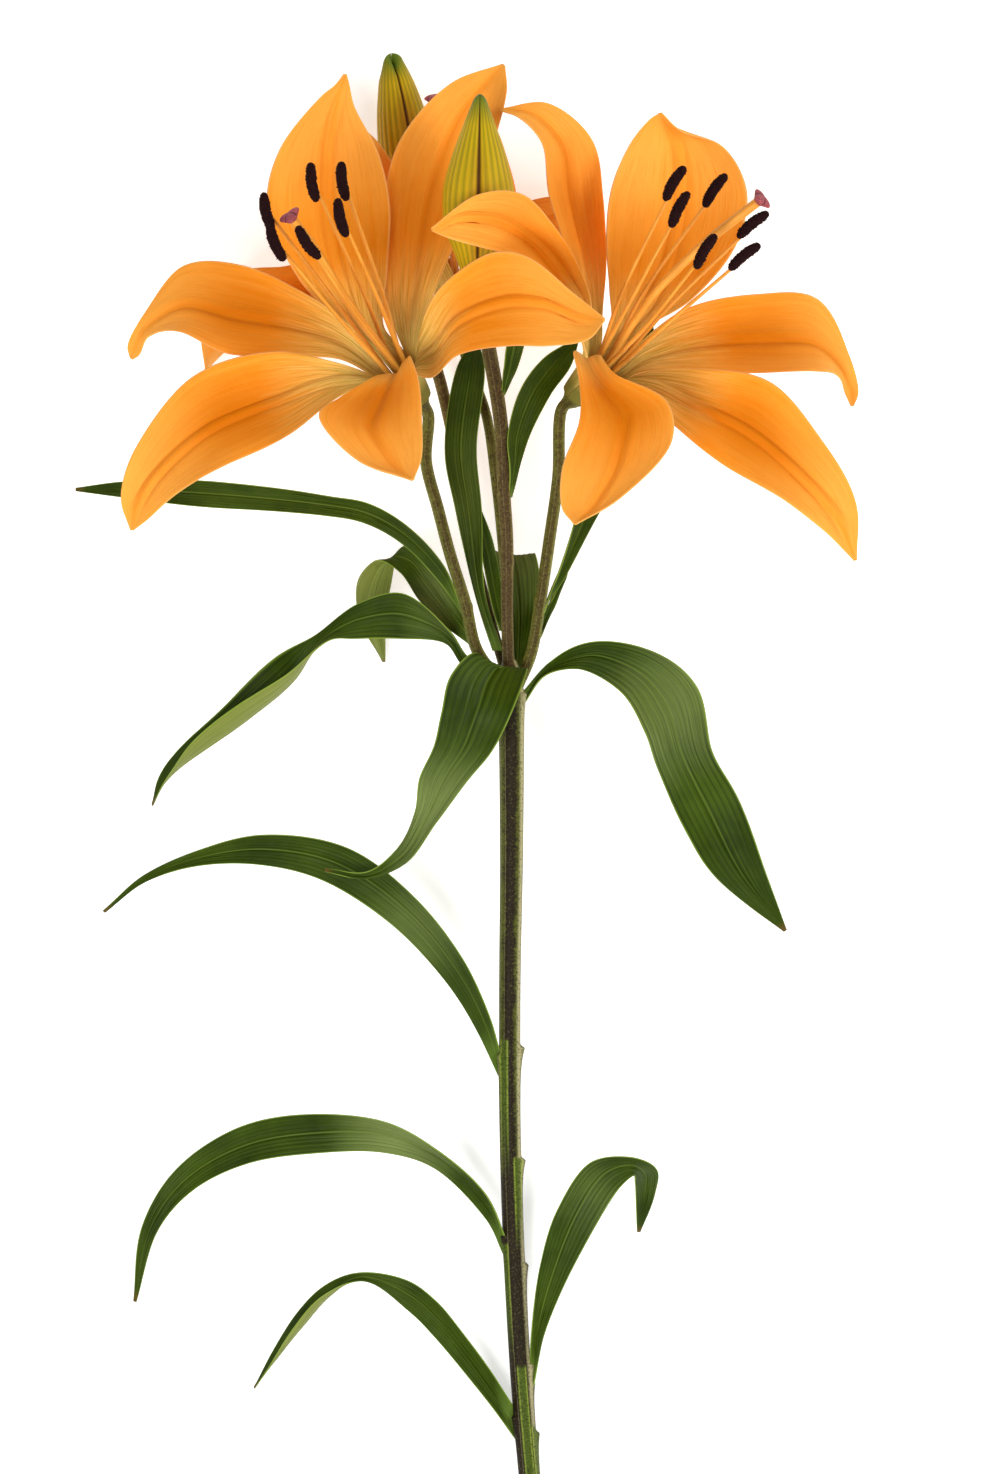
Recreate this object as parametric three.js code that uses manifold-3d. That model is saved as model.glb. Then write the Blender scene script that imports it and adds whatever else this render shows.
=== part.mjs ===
// A cut lily: one leafy stem with three open flowers and two buds, lying on its back on a flat surface.
// +Y runs up the stem, +X to the right, +Z away from the surface. Millimetres.
import * as THREE from 'three';
import Module from 'manifold-3d';
import { mergeVertices } from 'three/addons/utils/BufferGeometryUtils.js';

const wasm = await Module();
wasm.setup();

// ---- driving dimensions ----
const STEM_LENGTH = 306; // from the whorl, where the flower stalks part, down to the cut
const STEM_DIAMETER = 7.2;
const STEM_TOP_DIAMETER = 8.6;
const STALK_DIAMETER = 4.0;
const BACK_STALK_DIAMETER = 3.4;
const RECEPTACLE_DIAMETER = 10.0;
const FLOWER_WIDTH = 160; // tip to tip across one open flower
const LEAF_LENGTH = 150; // the longest stem leaf, along its midrib
const TEPAL_THICKNESS = 1.2;
const LEAF_THICKNESS = 0.9;
const TIP_WIDTH = 1.2; // tepals and leaves end this wide
const THROAT_DEPTH = 15;
const THROAT_RADIUS = 7;
const THROAT_TEPAL_WIDTH = 6.4;
const FILAMENT_DIAMETER = 1.2;
const ANTHER_LENGTH = 13.4;
const ANTHER_WIDTH = 3.8;
const STYLE_DIAMETER = 2.2;
const STIGMA_DIAMETER = 6.6;
const BUD_DIAMETER = 23;
const BACK_BUD_DIAMETER = 18;
const GAP = 0.35; // air left between pieces that touch on the plant
const LEAF_GAP = 0.6; // air between a leaf's foot and the stem or stalk
const CLAW_GAP = 0.78; // air between the feet of neighbouring tepals

// Six tepals stand in a ring on the receptacle, and their feet share its round.
const CLAW_RADIUS = RECEPTACLE_DIAMETER / 2 - TEPAL_THICKNESS / 2 - GAP;
const CLAW_WIDTH = 2 * (CLAW_RADIUS - TEPAL_THICKNESS / 2) * Math.tan(Math.PI / 6) - CLAW_GAP;

// Outlines below are drawn for these two sizes, and grow with the sizes above.
const DRAWN_FLOWER_WIDTH = 160;
const DRAWN_LEAF_LENGTH = 150;

const WHORL_Y = 16;
const DRAWN_STEM_LENGTH = 262; // as far as the stem is drawn; the rest runs on straight
const STEM_LEAN = 0.086; // sideways, for each millimetre down that straight

// ---- materials ----
const paint = (colour, roughness) => new THREE.MeshStandardMaterial({ color: colour, roughness, metalness: 0 });
const PETAL = paint(0xf7992f, 0.55);
const LEAF = paint(0x3f6220, 0.5);
const STEM = paint(0x5b5a34, 0.6);
const BUD = paint(0xb3a63a, 0.55);
const POLLEN = paint(0x1c0a0c, 0.85);
const PISTIL = paint(0xd9843a, 0.5);

// ---- geometry helpers ----
const point = (x, y, z) => new THREE.Vector3(x, y, z);
const smooth = (points) => new THREE.CatmullRomCurve3(points, false, 'centripetal');

// A geometry from a list of points and a list of triangles' indices.
function fromLists(positions, triangles) {
  const geometry = new THREE.BufferGeometry();
  geometry.setAttribute('position', new THREE.Float32BufferAttribute(positions, 3));
  geometry.setIndex(triangles);
  return geometry;
}

// The last row of a blade is only [x, y, z]. This gives it a narrow end, square to the way the blade runs.
function withTip(rows) {
  const tip = point(...rows[rows.length - 1]);
  const [ax, ay, az, bx, by, bz] = rows[rows.length - 2];
  const across = point(bx - ax, by - ay, bz - az);
  const along = tip.clone().sub(point((ax + bx) / 2, (ay + by) / 2, (az + bz) / 2)).normalize();
  across.addScaledVector(along, -across.dot(along)).setLength(TIP_WIDTH / 2);
  return [...rows.slice(0, -1), [...tip.clone().sub(across).toArray(), ...tip.clone().add(across).toArray()]];
}

// A row scaled about one point, which then goes to another. A cup after the two margins stays as it is.
function moved(row, from, size, to) {
  const place = (x, y, z) => point(x, y, z).sub(from).multiplyScalar(size).add(to).toArray();
  return row.length === 3 ? place(...row) : [...place(...row.slice(0, 3)), ...place(...row.slice(3, 6)), ...row.slice(6)];
}

// A thin blade skinned between two margins. Each row is [ax, ay, az, bx, by, bz, cup]: a point on either
// margin, and how far the middle sinks below the line between them, as a share of the half width.
// The face seen from the hollow side is the upper one.
function blade(outline, thickness, steps, columns, usualCup) {
  const rows = withTip(outline);
  const marginA = smooth(rows.map((r) => point(r[0], r[1], r[2])));
  const marginB = smooth(rows.map((r) => point(r[3], r[4], r[5])));
  const cups = smooth(rows.map((r, i) => point(i, r[6] ?? usualCup, 0)));
  const middle = [];
  for (let i = 0; i <= steps; i++) {
    const t = i / steps;
    const a = marginA.getPoint(t);
    const b = marginB.getPoint(t);
    const along = marginA.getTangent(t).add(marginB.getTangent(t));
    const across = b.clone().sub(a);
    const upper = across.clone().cross(along).normalize();
    const sink = cups.getPoint(t).y * across.length() / 2;
    const row = [];
    for (let j = 0; j <= columns; j++) {
      const s = 2 * j / columns - 1;
      row.push(a.clone().addScaledVector(across, j / columns).addScaledVector(upper, -sink * (1 - s * s)));
    }
    middle.push(row);
  }
  const faces = [[], []];
  for (let i = 0; i <= steps; i++) {
    for (let j = 0; j <= columns; j++) {
      const along = middle[Math.min(i + 1, steps)][j].clone().sub(middle[Math.max(i - 1, 0)][j]);
      const across = middle[i][Math.min(j + 1, columns)].clone().sub(middle[i][Math.max(j - 1, 0)]);
      const upper = across.cross(along).normalize();
      faces[0].push(middle[i][j].clone().addScaledVector(upper, thickness / 2));
      faces[1].push(middle[i][j].clone().addScaledVector(upper, -thickness / 2));
    }
  }
  const width = columns + 1;
  const lower = (steps + 1) * width;
  const triangles = [];
  const quad = (p, q, r, s) => triangles.push(p, q, r, p, r, s);
  for (let i = 0; i < steps; i++) {
    for (let j = 0; j < columns; j++) {
      const k = i * width + j;
      quad(k, k + 1, k + 1 + width, k + width);
      quad(lower + k, lower + k + width, lower + k + 1 + width, lower + k + 1);
    }
    const left = i * width;
    const right = left + columns;
    quad(left, left + width, lower + left + width, lower + left);
    quad(right, lower + right, lower + right + width, right + width);
  }
  for (let j = 0; j < columns; j++) {
    const end = steps * width + j;
    quad(j, lower + j, lower + j + 1, j + 1);
    quad(end, end + 1, lower + end + 1, lower + end);
  }
  return fromLists([...faces[0], ...faces[1]].flatMap((p) => [p.x, p.y, p.z]), triangles);
}

// A closed tube along a list of points. radiusAt(t, angle) is its radius at t from 0 to 1 along it.
function tube(points, radiusAt, steps, sides) {
  const curve = smooth(points);
  const frames = curve.computeFrenetFrames(steps, false);
  const positions = [];
  const triangles = [];
  for (let i = 0; i <= steps; i++) {
    const centre = curve.getPointAt(i / steps);
    for (let j = 0; j < sides; j++) {
      const angle = 2 * Math.PI * j / sides;
      const radius = radiusAt(i / steps, angle);
      const p = centre.clone()
        .addScaledVector(frames.normals[i], radius * Math.cos(angle))
        .addScaledVector(frames.binormals[i], radius * Math.sin(angle));
      positions.push(p.x, p.y, p.z);
    }
  }
  for (let i = 0; i < steps; i++) {
    for (let j = 0; j < sides; j++) {
      const k = i * sides + j;
      const next = i * sides + (j + 1) % sides;
      triangles.push(k, next, next + sides, k, next + sides, k + sides);
    }
  }
  for (let j = 1; j < sides - 1; j++) {
    const end = steps * sides;
    triangles.push(0, j + 1, j, end, end + j, end + j + 1);
  }
  return fromLists(positions, triangles);
}

// An egg-shaped solid between two points.
function egg(from, to, width, sides) {
  const geometry = new THREE.SphereGeometry(0.5, sides, sides);
  const along = to.clone().sub(from);
  geometry.scale(width, along.length(), width);
  geometry.applyQuaternion(new THREE.Quaternion().setFromUnitVectors(point(0, 1, 0), along.normalize()));
  const centre = from.clone().add(to).multiplyScalar(0.5);
  return geometry.translate(centre.x, centre.y, centre.z);
}

// Joins closed geometries into one grown piece.
function grow(...geometries) {
  const solids = geometries.map((geometry) => {
    const bare = geometry.clone();
    bare.deleteAttribute('normal');
    bare.deleteAttribute('uv');
    const merged = mergeVertices(bare, 1e-4);
    return new wasm.Manifold(new wasm.Mesh({
      numProp: 3,
      vertProperties: new Float32Array(merged.attributes.position.array),
      triVerts: new Uint32Array(merged.index.array),
    }));
  });
  const mesh = solids.reduce((whole, solid) => whole.add(solid)).getMesh();
  return fromLists(Array.from(mesh.vertProperties), Array.from(mesh.triVerts));
}

const plant = new THREE.Group();
const model = new THREE.Group();
plant.add(model);

function add(name, geometry, material) {
  const mesh = new THREE.Mesh(geometry, material);
  mesh.name = name;
  model.add(mesh);
}

// Everything above the whorl is drawn for one width of flower, and grows out from the whorl with it.
const whorlPoint = point(6.3, WHORL_Y, 43);
const HEAD_SCALE = FLOWER_WIDTH / DRAWN_FLOWER_WIDTH;
const inHead = (x, y, z) => point(x, y, z).sub(whorlPoint).multiplyScalar(HEAD_SCALE).add(whorlPoint);

// ---- flowers: where each one sits and faces ----
// seat is the top of the receptacle, axis the way the flower faces, turn the angle of its first tepal.
function flower(seat, axis, turn) {
  const facing = axis.clone().normalize();
  const front = point(0, 0, 1).addScaledVector(facing, -facing.z).normalize();
  const side = facing.clone().cross(front);
  const outward = (degrees) => {
    const angle = THREE.MathUtils.degToRad(degrees);
    return front.clone().multiplyScalar(Math.cos(angle)).addScaledVector(side, Math.sin(angle));
  };
  const at = (height, radius, degrees) => seat.clone()
    .addScaledVector(facing, height)
    .addScaledVector(outward(degrees), radius);
  return { seat, facing, turn, outward, at };
}

const leftFlower = flower(inHead(-25, 113, 64), point(-0.456, 0.656, 0.6), -12);
const rightFlower = flower(inHead(28, 114, 62), point(0.6, 0.6, 0.53), 8);
const backFlower = flower(inHead(-10, 136, 32), point(-0.12, 0.98, -0.1), 30);

// ---- stem and stalks, one grown piece ----
const stemPath = [
  point(12.7 + (STEM_LENGTH - DRAWN_STEM_LENGTH) * STEM_LEAN, WHORL_Y - STEM_LENGTH, STEM_DIAMETER / 2),
  point(9.5, -211, 8),
  point(6.3, -141, 14),
  point(6, -88, 22),
  point(6.6, -36, 31),
  whorlPoint,
  inHead(5.6, 27, 45),
];
const RECEPTACLE_HEIGHT = 2.4;
const STALK_NECK = 8; // a stalk's last stretch runs straight into its flower
function stalkTo(bloom, points) {
  return [...points, bloom.at(-STALK_NECK, 0, 0), bloom.at(-RECEPTACLE_HEIGHT, 0, 0), bloom.seat];
}
const stalks = {
  left: stalkTo(leftFlower, [inHead(4, 17, 44), inHead(-5, 29, 51), inHead(-9, 45, 56), inHead(-14, 61, 59),
    inHead(-18, 76, 60), inHead(-22, 92, 60)]),
  right: stalkTo(rightFlower, [inHead(8, 16, 43), inHead(13, 28, 47), inHead(16, 45, 51), inHead(19, 65, 54),
    inHead(22, 87, 57)]),
  back: stalkTo(backFlower, [inHead(6, 18, 43), inHead(5, 45, 40), inHead(3, 70, 37), inHead(1, 88, 35),
    inHead(-2, 108, 33)]),
  centreBud: [inHead(5.6, 20, 45), inHead(5, 42, 49), inHead(5, 65, 52), inHead(4, 81, 55), inHead(3, 104, 59),
    inHead(-1, 129, 63), inHead(-5, 148, 66)],
  backBud: [inHead(5, 20, 42), inHead(-2, 45, 32), inHead(-8, 70, 24), inHead(-12, 95, 18), inHead(-17, 118, 14),
    inHead(-24, 142, 13), inHead(-27, 165, 15)],
};
const stemRadius = (t) => THREE.MathUtils.lerp(STEM_DIAMETER, STEM_TOP_DIAMETER, THREE.MathUtils.smoothstep(t, 0.6, 1)) / 2;
const RECEPTACLE_START = 0.985; // share of a stalk's length
const flaredStalk = (diameter) => (t) => (t > RECEPTACLE_START ? RECEPTACLE_DIAMETER : diameter) / 2;
const BUD_STALK_SWELL = 0.25;
const budStalk = (diameter) => (t) => diameter / 2 * (1 + BUD_STALK_SWELL * t);
const STALK_STEPS = 14;
const STALK_SIDES = 8;
const STEM_STEPS = 26;
add('stem', grow(
  tube(stemPath, stemRadius, STEM_STEPS, STALK_SIDES),
  tube(stalks.left, flaredStalk(STALK_DIAMETER), STALK_STEPS, STALK_SIDES),
  tube(stalks.right, flaredStalk(STALK_DIAMETER), STALK_STEPS, STALK_SIDES),
  tube(stalks.back, flaredStalk(BACK_STALK_DIAMETER), STALK_STEPS, STALK_SIDES),
  tube(stalks.centreBud, budStalk(STALK_DIAMETER), STALK_STEPS, STALK_SIDES),
  tube(stalks.backBud, budStalk(BACK_STALK_DIAMETER), STALK_STEPS, STALK_SIDES),
), STEM);

// ---- tepals ----
const THROAT_CUP = 0.2;

// The two rows nearest the receptacle come from the throat's own sizes. The rows listed carry on from there.
function tepalRows(bloom, index, rows) {
  const degrees = bloom.turn + 60 * index;
  const across = bloom.outward(degrees).cross(bloom.facing);
  const throatRow = (height, radius, width) => {
    const centre = bloom.at(height, radius, degrees);
    const a = centre.clone().addScaledVector(across, -width / 2);
    const b = centre.clone().addScaledVector(across, width / 2);
    return [...a.toArray(), ...b.toArray(), THROAT_CUP];
  };
  return [
    throatRow(GAP, CLAW_RADIUS, CLAW_WIDTH),
    throatRow(THROAT_DEPTH, THROAT_RADIUS, THROAT_TEPAL_WIDTH),
    ...rows.map((row) => moved(row, whorlPoint, HEAD_SCALE, whorlPoint)),
  ];
}

const TEPAL_CUP = 0.28;
const TEPAL_STEPS = 11;
const TEPAL_COLUMNS = 4;
function addTepals(bloom, prefix, outlines) {
  Object.entries(outlines).forEach(([name, rows], index) => {
    const geometry = blade(tepalRows(bloom, index, rows), TEPAL_THICKNESS, TEPAL_STEPS, TEPAL_COLUMNS, TEPAL_CUP);
    add(`${prefix}_tepal_${name}`, geometry, PETAL);
  });
}

// In turning order round each flower, from the tepal nearest the viewer.
addTepals(leftFlower, 'left_flower', {
  front: [
    [-27, 126, 98, -39, 119, 96],
    [-24, 117, 112, -51, 112, 108],
    [-23, 104, 124, -57, 105, 120],
    [-23, 92, 132, -44, 91, 130],
    [-26, 84.5, 138],
  ],
  right: [
    [-23, 138, 84, -20, 119, 88],
    [-16, 150, 90, -12, 126, 96],
    [-1, 160, 98, 6, 129, 106],
    [11, 159, 104, 19, 129, 111],
    [28, 145.5, 111, 32, 131, 115],
    [37, 137.5, 116],
  ],
  upper_right: [
    [-34, 141, 63, -20, 146, 62],
    [-36, 160, 55, -12, 165, 54],
    [-36, 182, 49, -4, 182, 48],
    [-30, 201, 46, 1.5, 201, 46],
    [-14, 218.5, 44, 5, 216, 44],
    [4, 225, 40.5],
  ],
  upper_left: [
    [-50, 138, 67, -36, 137, 65],
    [-64, 152, 63, -35, 154, 60],
    [-75, 177, 57, -34, 177, 55],
    [-71, 196, 54, -38, 195, 51],
    [-57, 214, 52, -46, 211, 50],
    [-52.5, 217.5, 52.5, -47.5, 217.5, 51.5],
    [-49, 221, 54],
  ],
  left: [
    [-50, 125.5, 74, -48, 137.5, 69.8],
    [-68, 126, 79, -65, 149.5, 67],
    [-88, 127.5, 79, -83, 157, 61],
    [-104, 134.5, 72, -104, 157, 54],
    [-115, 133, 58, -117.5, 139, 55],
    [-117.7, 127.5, 52.5, -121.7, 130.5, 51.5],
    [-120.5, 126.3, 50],
  ],
  lower_left: [
    [-49, 113.5, 85, -52, 124.5, 80],
    [-67, 100, 99, -71, 128, 86],
    [-89, 89, 105, -100, 119, 90],
    [-105, 80, 99, -118, 96, 89],
    [-114, 72, 90, -123, 79, 88],
    [-119.5, 68.5, 87],
  ],
});
addTepals(rightFlower, 'right_flower', {
  front: [
    [36, 126, 91, 27, 128, 92],
    [41, 120, 105, 29, 116, 104],
    [58, 110, 117, 28.5, 104, 117],
    [59, 97, 125, 23, 88, 126],
    [43, 79, 133, 23, 75, 133],
    [27, 70, 137],
  ],
  lower_right: [
    [52, 121.5, 83, 50, 114, 86],
    [71, 122, 89, 60, 103, 99],
    [93, 117, 93, 77, 89.5, 108],
    [110, 97.5, 95, 97, 77.5, 107],
    [120.5, 77, 95, 110, 68, 98],
    [120.5, 58.5, 90],
  ],
  right: [
    [49, 131.5, 67, 50, 121, 74],
    [64, 142, 63, 66, 121.5, 80],
    [88, 148, 60, 90, 120.5, 83],
    [108, 146, 57, 109, 121.5, 78],
    [119, 128, 57, 115.5, 120, 63],
    [122.4, 115, 52.5, 117.8, 114.5, 54],
    [120.4, 110.5, 50.5],
  ],
  upper_right: [
    [39.5, 136, 67, 51, 136, 69],
    [39, 149, 63, 67, 146, 67],
    [38, 166, 59, 81, 163, 63],
    [40, 184, 55, 85, 182, 59],
    [46, 198, 54, 77, 197, 57],
    [52.5, 206, 56, 63, 202, 58],
    [56, 208, 58],
  ],
  upper_left: [
    [31, 139, 66, 37, 141, 60],
    [26, 158, 60, 38, 161, 49],
    [19, 180, 56, 37.5, 181, 42],
    [17, 198, 54, 33, 200, 42],
    [9, 206.5, 53, 19, 212, 45],
    [3, 209.5, 52],
  ],
  left: [
    [27, 140, 79, 33, 144, 77],
    [18, 151, 82, 29, 156, 79],
    [7, 159.5, 86, 21, 169, 84],
    [-3, 162, 89, 10, 180, 87],
    [-14, 165, 92, -4, 180, 89],
    [-20, 168, 93],
  ],
});
addTepals(backFlower, 'back_flower', {
  upper_right: [
    [1, 160, 34, -9, 163, 38],
    [8, 178, 30, -5, 183, 35],
    [4, 198, 26, -7, 198, 30],
    [-4.5, 214, 19.5],
  ],
  right: [
    [0, 157, 27, 2, 144, 28],
    [14, 157, 22, 14, 136, 23],
    [26, 152, 12, 26, 135, 13],
    [34, 140.5, 2],
  ],
  back_right: [
    [-8, 164, 18, 2, 160, 18],
    [2, 176, 8, 14, 162, 9],
    [18, 182, 3, 24, 166, 3],
    [30.5, 181, 1.5],
  ],
  back_left: [
    [-20, 155, 23.5, -15, 162, 24],
    [-34, 157, 23.5, -28, 168, 24.5],
    [-51, 161, 14, -45, 180, 13],
    [-65.5, 173, 1.5],
  ],
  left: [
    [-24, 144, 32, -24, 156, 30],
    [-52, 139, 36, -50, 162, 30],
    [-72, 133, 34, -69, 158, 26],
    [-86, 131, 27, -84, 156.5, 18],
    [-94, 126, 17, -97, 140, 9],
    [-96.5, 121, 4.5],
  ],
  upper_left: [
    [-17, 163, 39, -26, 158, 36],
    [-27, 180, 40, -48, 172, 35],
    [-37, 198, 36, -62, 190, 30],
    [-52.5, 211, 25.5],
  ],
});

// ---- stamens and pistils ----
const STAMEN_RING_RADIUS = 2.2;
const THROAT_STAMEN_RADIUS = 3.6;
const FILAMENT_STEPS = 8;
const FILAMENT_SIDES = 5;
const ANTHER_SIDES = 6;
const STYLE_STEPS = 12;
const STYLE_SIDES = 6;
const STYLE_SWELL = 0.3;
const STIGMA_LOBES = 3;
const STIGMA_LOBE_DEPTH = 0.16;
const STIGMA_ALONG = [-1.2, 1, 3.2]; // its foot, middle and end, from the end of the style
const STIGMA_STEPS = 4;
const STIGMA_SIDES = 12;

// Each stamen is [turn round the flower, a point its filament bends through, the anther's two ends].
function addStamens(bloom, prefix, list) {
  list.forEach(([degrees, bend, from, to], index) => {
    const a = inHead(...from);
    const b = inHead(...to);
    const centre = a.clone().add(b).multiplyScalar(0.5);
    const half = b.clone().sub(a).setLength(ANTHER_LENGTH / 2);
    const filament = tube([
      bloom.at(GAP, STAMEN_RING_RADIUS, degrees),
      bloom.at(THROAT_DEPTH, THROAT_STAMEN_RADIUS, degrees),
      inHead(...bend),
      centre,
    ], () => FILAMENT_DIAMETER / 2, FILAMENT_STEPS, FILAMENT_SIDES);
    const anther = egg(centre.clone().sub(half), centre.clone().add(half), ANTHER_WIDTH, ANTHER_SIDES);
    add(`${prefix}_stamen_${index + 1}`, grow(filament, anther), POLLEN);
  });
}

function addPistil(bloom, name, bends) {
  const path = [bloom.at(GAP, 0, 0), bloom.at(THROAT_DEPTH, 0, 0), ...bends.map((p) => inHead(...p))];
  const tip = path[path.length - 1];
  const last = tip.clone().sub(path[path.length - 2]).normalize();
  const lobe = (t, angle) => STIGMA_DIAMETER / 2 * Math.sin(Math.PI * (0.12 + 0.76 * t))
    * (1 + STIGMA_LOBE_DEPTH * Math.cos(STIGMA_LOBES * angle));
  const stigmaPath = STIGMA_ALONG.map((reach) => tip.clone().addScaledVector(last, reach));
  const styleRadius = (t) => STYLE_DIAMETER / 2 * (0.9 + STYLE_SWELL * t);
  add(name, grow(tube(path, styleRadius, STYLE_STEPS, STYLE_SIDES),
    tube(stigmaPath, lobe, STIGMA_STEPS, STIGMA_SIDES)), PISTIL);
}

addStamens(leftFlower, 'left_flower', [
  [0, [-48, 144, 97], [-64, 168, 117], [-57, 158, 115]],
  [60, [-39, 148, 88], [-51, 178, 106], [-48, 165, 106]],
  [120, [-36, 146, 80], [-50, 191, 93], [-48, 177, 94]],
  [180, [-42, 146, 80], [-60, 190, 98], [-58, 177, 98]],
  [240, [-51, 143, 88], [-75.5, 180, 104], [-72.5, 167, 104]],
  [300, [-51, 139, 93], [-73.5, 169, 114], [-68.5, 157, 113]],
]);
addPistil(leftFlower, 'left_flower_pistil', [[-49, 146, 91], [-59, 162, 101], [-66, 171, 107]]);

addStamens(rightFlower, 'right_flower', [
  [10, [51, 136, 92], [74, 166, 114], [67, 154, 113]],
  [70, [57, 136, 87], [89, 163, 104], [78, 154, 103]],
  [130, [57, 141, 79], [92, 174, 92], [81, 165, 91]],
  [190, [50, 147, 79], [78, 187, 90], [70, 175, 90]],
  [250, [43, 147, 83], [64, 189, 98], [57, 177, 98]],
  [310, [44, 141, 90], [65, 180, 109], [59, 168, 109]],
]);
addPistil(rightFlower, 'right_flower_pistil', [[53, 146, 87], [69, 162, 96], [88, 177, 105]]);

addStamens(backFlower, 'back_flower', [
  [0, [-14, 172, 36], [-20, 206, 36.5], [-18, 193, 36.5]],
  [60, [-11, 172, 34], [-13, 206, 34], [-12, 193, 34]],
  [120, [-11, 172, 28], [-14, 206, 26], [-13, 193, 26]],
  [180, [-14, 172, 25], [-18, 208, 22], [-16.5, 195, 22]],
  [240, [-18, 172, 28], [-25, 202, 28], [-23, 189, 29]],
  [300, [-18, 172, 33], [-27, 204, 35], [-24, 191, 34.5]],
]);
addPistil(backFlower, 'back_flower_pistil', [[-14, 174, 30], [-17, 195, 30.5], [-19, 213, 32]]);

// ---- buds ----
// Radius along a bud as a share of its greatest, from the foot to the tip.
const slenderBud = smooth([point(0, 0.28, 0), point(0.15, 0.62, 0), point(0.42, 0.97, 0), point(0.62, 1, 0),
  point(0.82, 0.79, 0), point(0.94, 0.47, 0), point(1, 0.12, 0)]);
const bluntBud = smooth([point(0, 0.28, 0), point(0.15, 0.58, 0), point(0.42, 0.92, 0), point(0.66, 1, 0),
  point(0.84, 0.9, 0), point(0.95, 0.66, 0), point(1, 0.3, 0)]);
const BUD_RIDGES = 3;
const BUD_RIDGE_HEIGHT = 0.05;
const BUD_STEPS = 10;
const BUD_SIDES = 12;
const budRadius = (diameter, profile) => (t, angle) => diameter / 2 * profile.getPoint(t).y
  * (1 + BUD_RIDGE_HEIGHT * Math.cos(BUD_RIDGES * angle));
add('centre_bud', tube([inHead(-5, 149.5, 66), inHead(-4.5, 180, 68), inHead(-4, 214, 69)],
  budRadius(BUD_DIAMETER, slenderBud), BUD_STEPS, BUD_SIDES), BUD);
add('back_bud', tube([inHead(-27, 166.5, 15), inHead(-29, 197, 16), inHead(-34, 230, 17)],
  budRadius(BACK_BUD_DIAMETER, bluntBud), BUD_STEPS, BUD_SIDES), BUD);

// ---- leaves and bracts ----
// A leaf's foot stands off the stem or stalk it grows from, so the whole leaf moves with that stem's surface.
function seated(rows, { path, radius, size, place }) {
  const foot = point((rows[0][0] + rows[0][3]) / 2, (rows[0][1] + rows[0][4]) / 2, (rows[0][2] + rows[0][5]) / 2);
  const start = place(foot.x, foot.y, foot.z);
  const samples = smooth(path).getSpacedPoints(PATH_SAMPLES);
  const nearest = samples.reduce((best, p) => (p.distanceTo(start) < best.distanceTo(start) ? p : best));
  const outward = start.clone().sub(nearest).normalize();
  const seat = nearest.clone().addScaledVector(outward, radius + LEAF_GAP + LEAF_THICKNESS / 2);
  return rows.map((row) => moved(row, foot, size, seat));
}

const LEAF_CUP = 0.25;
const LEAF_STEPS = 14;
const LEAF_COLUMNS = 2;
const LEAF_SCALE = LEAF_LENGTH / DRAWN_LEAF_LENGTH;
const PATH_SAMPLES = 600;

// What a leaf can grow from. Leaves down the stem and round the whorl keep their place and grow with
// LEAF_LENGTH. Those that stand among the stalks spread and grow with the head.
const growsFrom = {
  stem: { path: stemPath, radius: STEM_DIAMETER / 2, size: LEAF_SCALE, place: point },
  whorl: { path: stemPath, radius: STEM_TOP_DIAMETER / 2, size: LEAF_SCALE, place: point },
  crown: { path: stemPath, radius: STEM_TOP_DIAMETER / 2, size: HEAD_SCALE, place: inHead },
  left: { path: stalks.left, radius: STALK_DIAMETER / 2, size: HEAD_SCALE, place: inHead },
  right: { path: stalks.right, radius: STALK_DIAMETER / 2, size: HEAD_SCALE, place: inHead },
  centreBud: { path: stalks.centreBud, radius: STALK_DIAMETER / 2 * (1 + BUD_STALK_SWELL / 2), size: HEAD_SCALE, place: inHead },
};
function addLeaf(name, from, rows) {
  add(name, blade(seated(rows, growsFrom[from]), LEAF_THICKNESS, LEAF_STEPS, LEAF_COLUMNS, LEAF_CUP), LEAF);
}

addLeaf('stem_leaf_bottom_left', 'stem', [
  [7.2, -237, 6.5, 6.2, -225, 8],
  [2, -228, 9, -1, -212, 12],
  [-6.5, -217, 12, -9, -201, 16],
  [-18.5, -202.5, 16, -18.5, -189.5, 20],
  [-28, -193, 18, -28, -182.5, 20],
  [-43, -183, 16, -43, -180, 16],
  [-56, -188, 14, -56, -184.5, 10, 0.8],
  [-67, -200, 9, -66, -194, 5, 0.8],
  [-80, -219.5, 1],
]);
addLeaf('stem_leaf_lower_left', 'stem', [
  [2.5, -174, 11, 3.3, -168, 14],
  [-2, -162, 13, -2, -154, 19],
  [-18.5, -145.3, 18, -18, -139.5, 27],
  [-36, -140, 22, -36, -129, 29],
  [-60.5, -140, 24, -62, -126.5, 25],
  [-82, -143.5, 18, -86, -131.5, 17],
  [-101, -153, 10, -107, -146, 9],
  [-113, -167, 5, -118, -165, 4],
  [-120.5, -190.5, 1],
]);
addLeaf('stem_leaf_lower_right', 'stem', [
  [13.6, -213, 9, 15, -219, 9],
  [13.6, -196, 14, 17.5, -202, 12],
  [16, -178, 19, 24.5, -184, 18],
  [22, -158, 26, 35.5, -163, 23],
  [33, -142.5, 29, 43, -151.5, 25],
  [46.5, -141, 28, 47.5, -147.5, 24],
  [55.5, -145.5, 20, 48, -150, 18],
  [55, -154, 11, 48.3, -156, 11],
  [49.5, -167, 1],
]);
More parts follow.
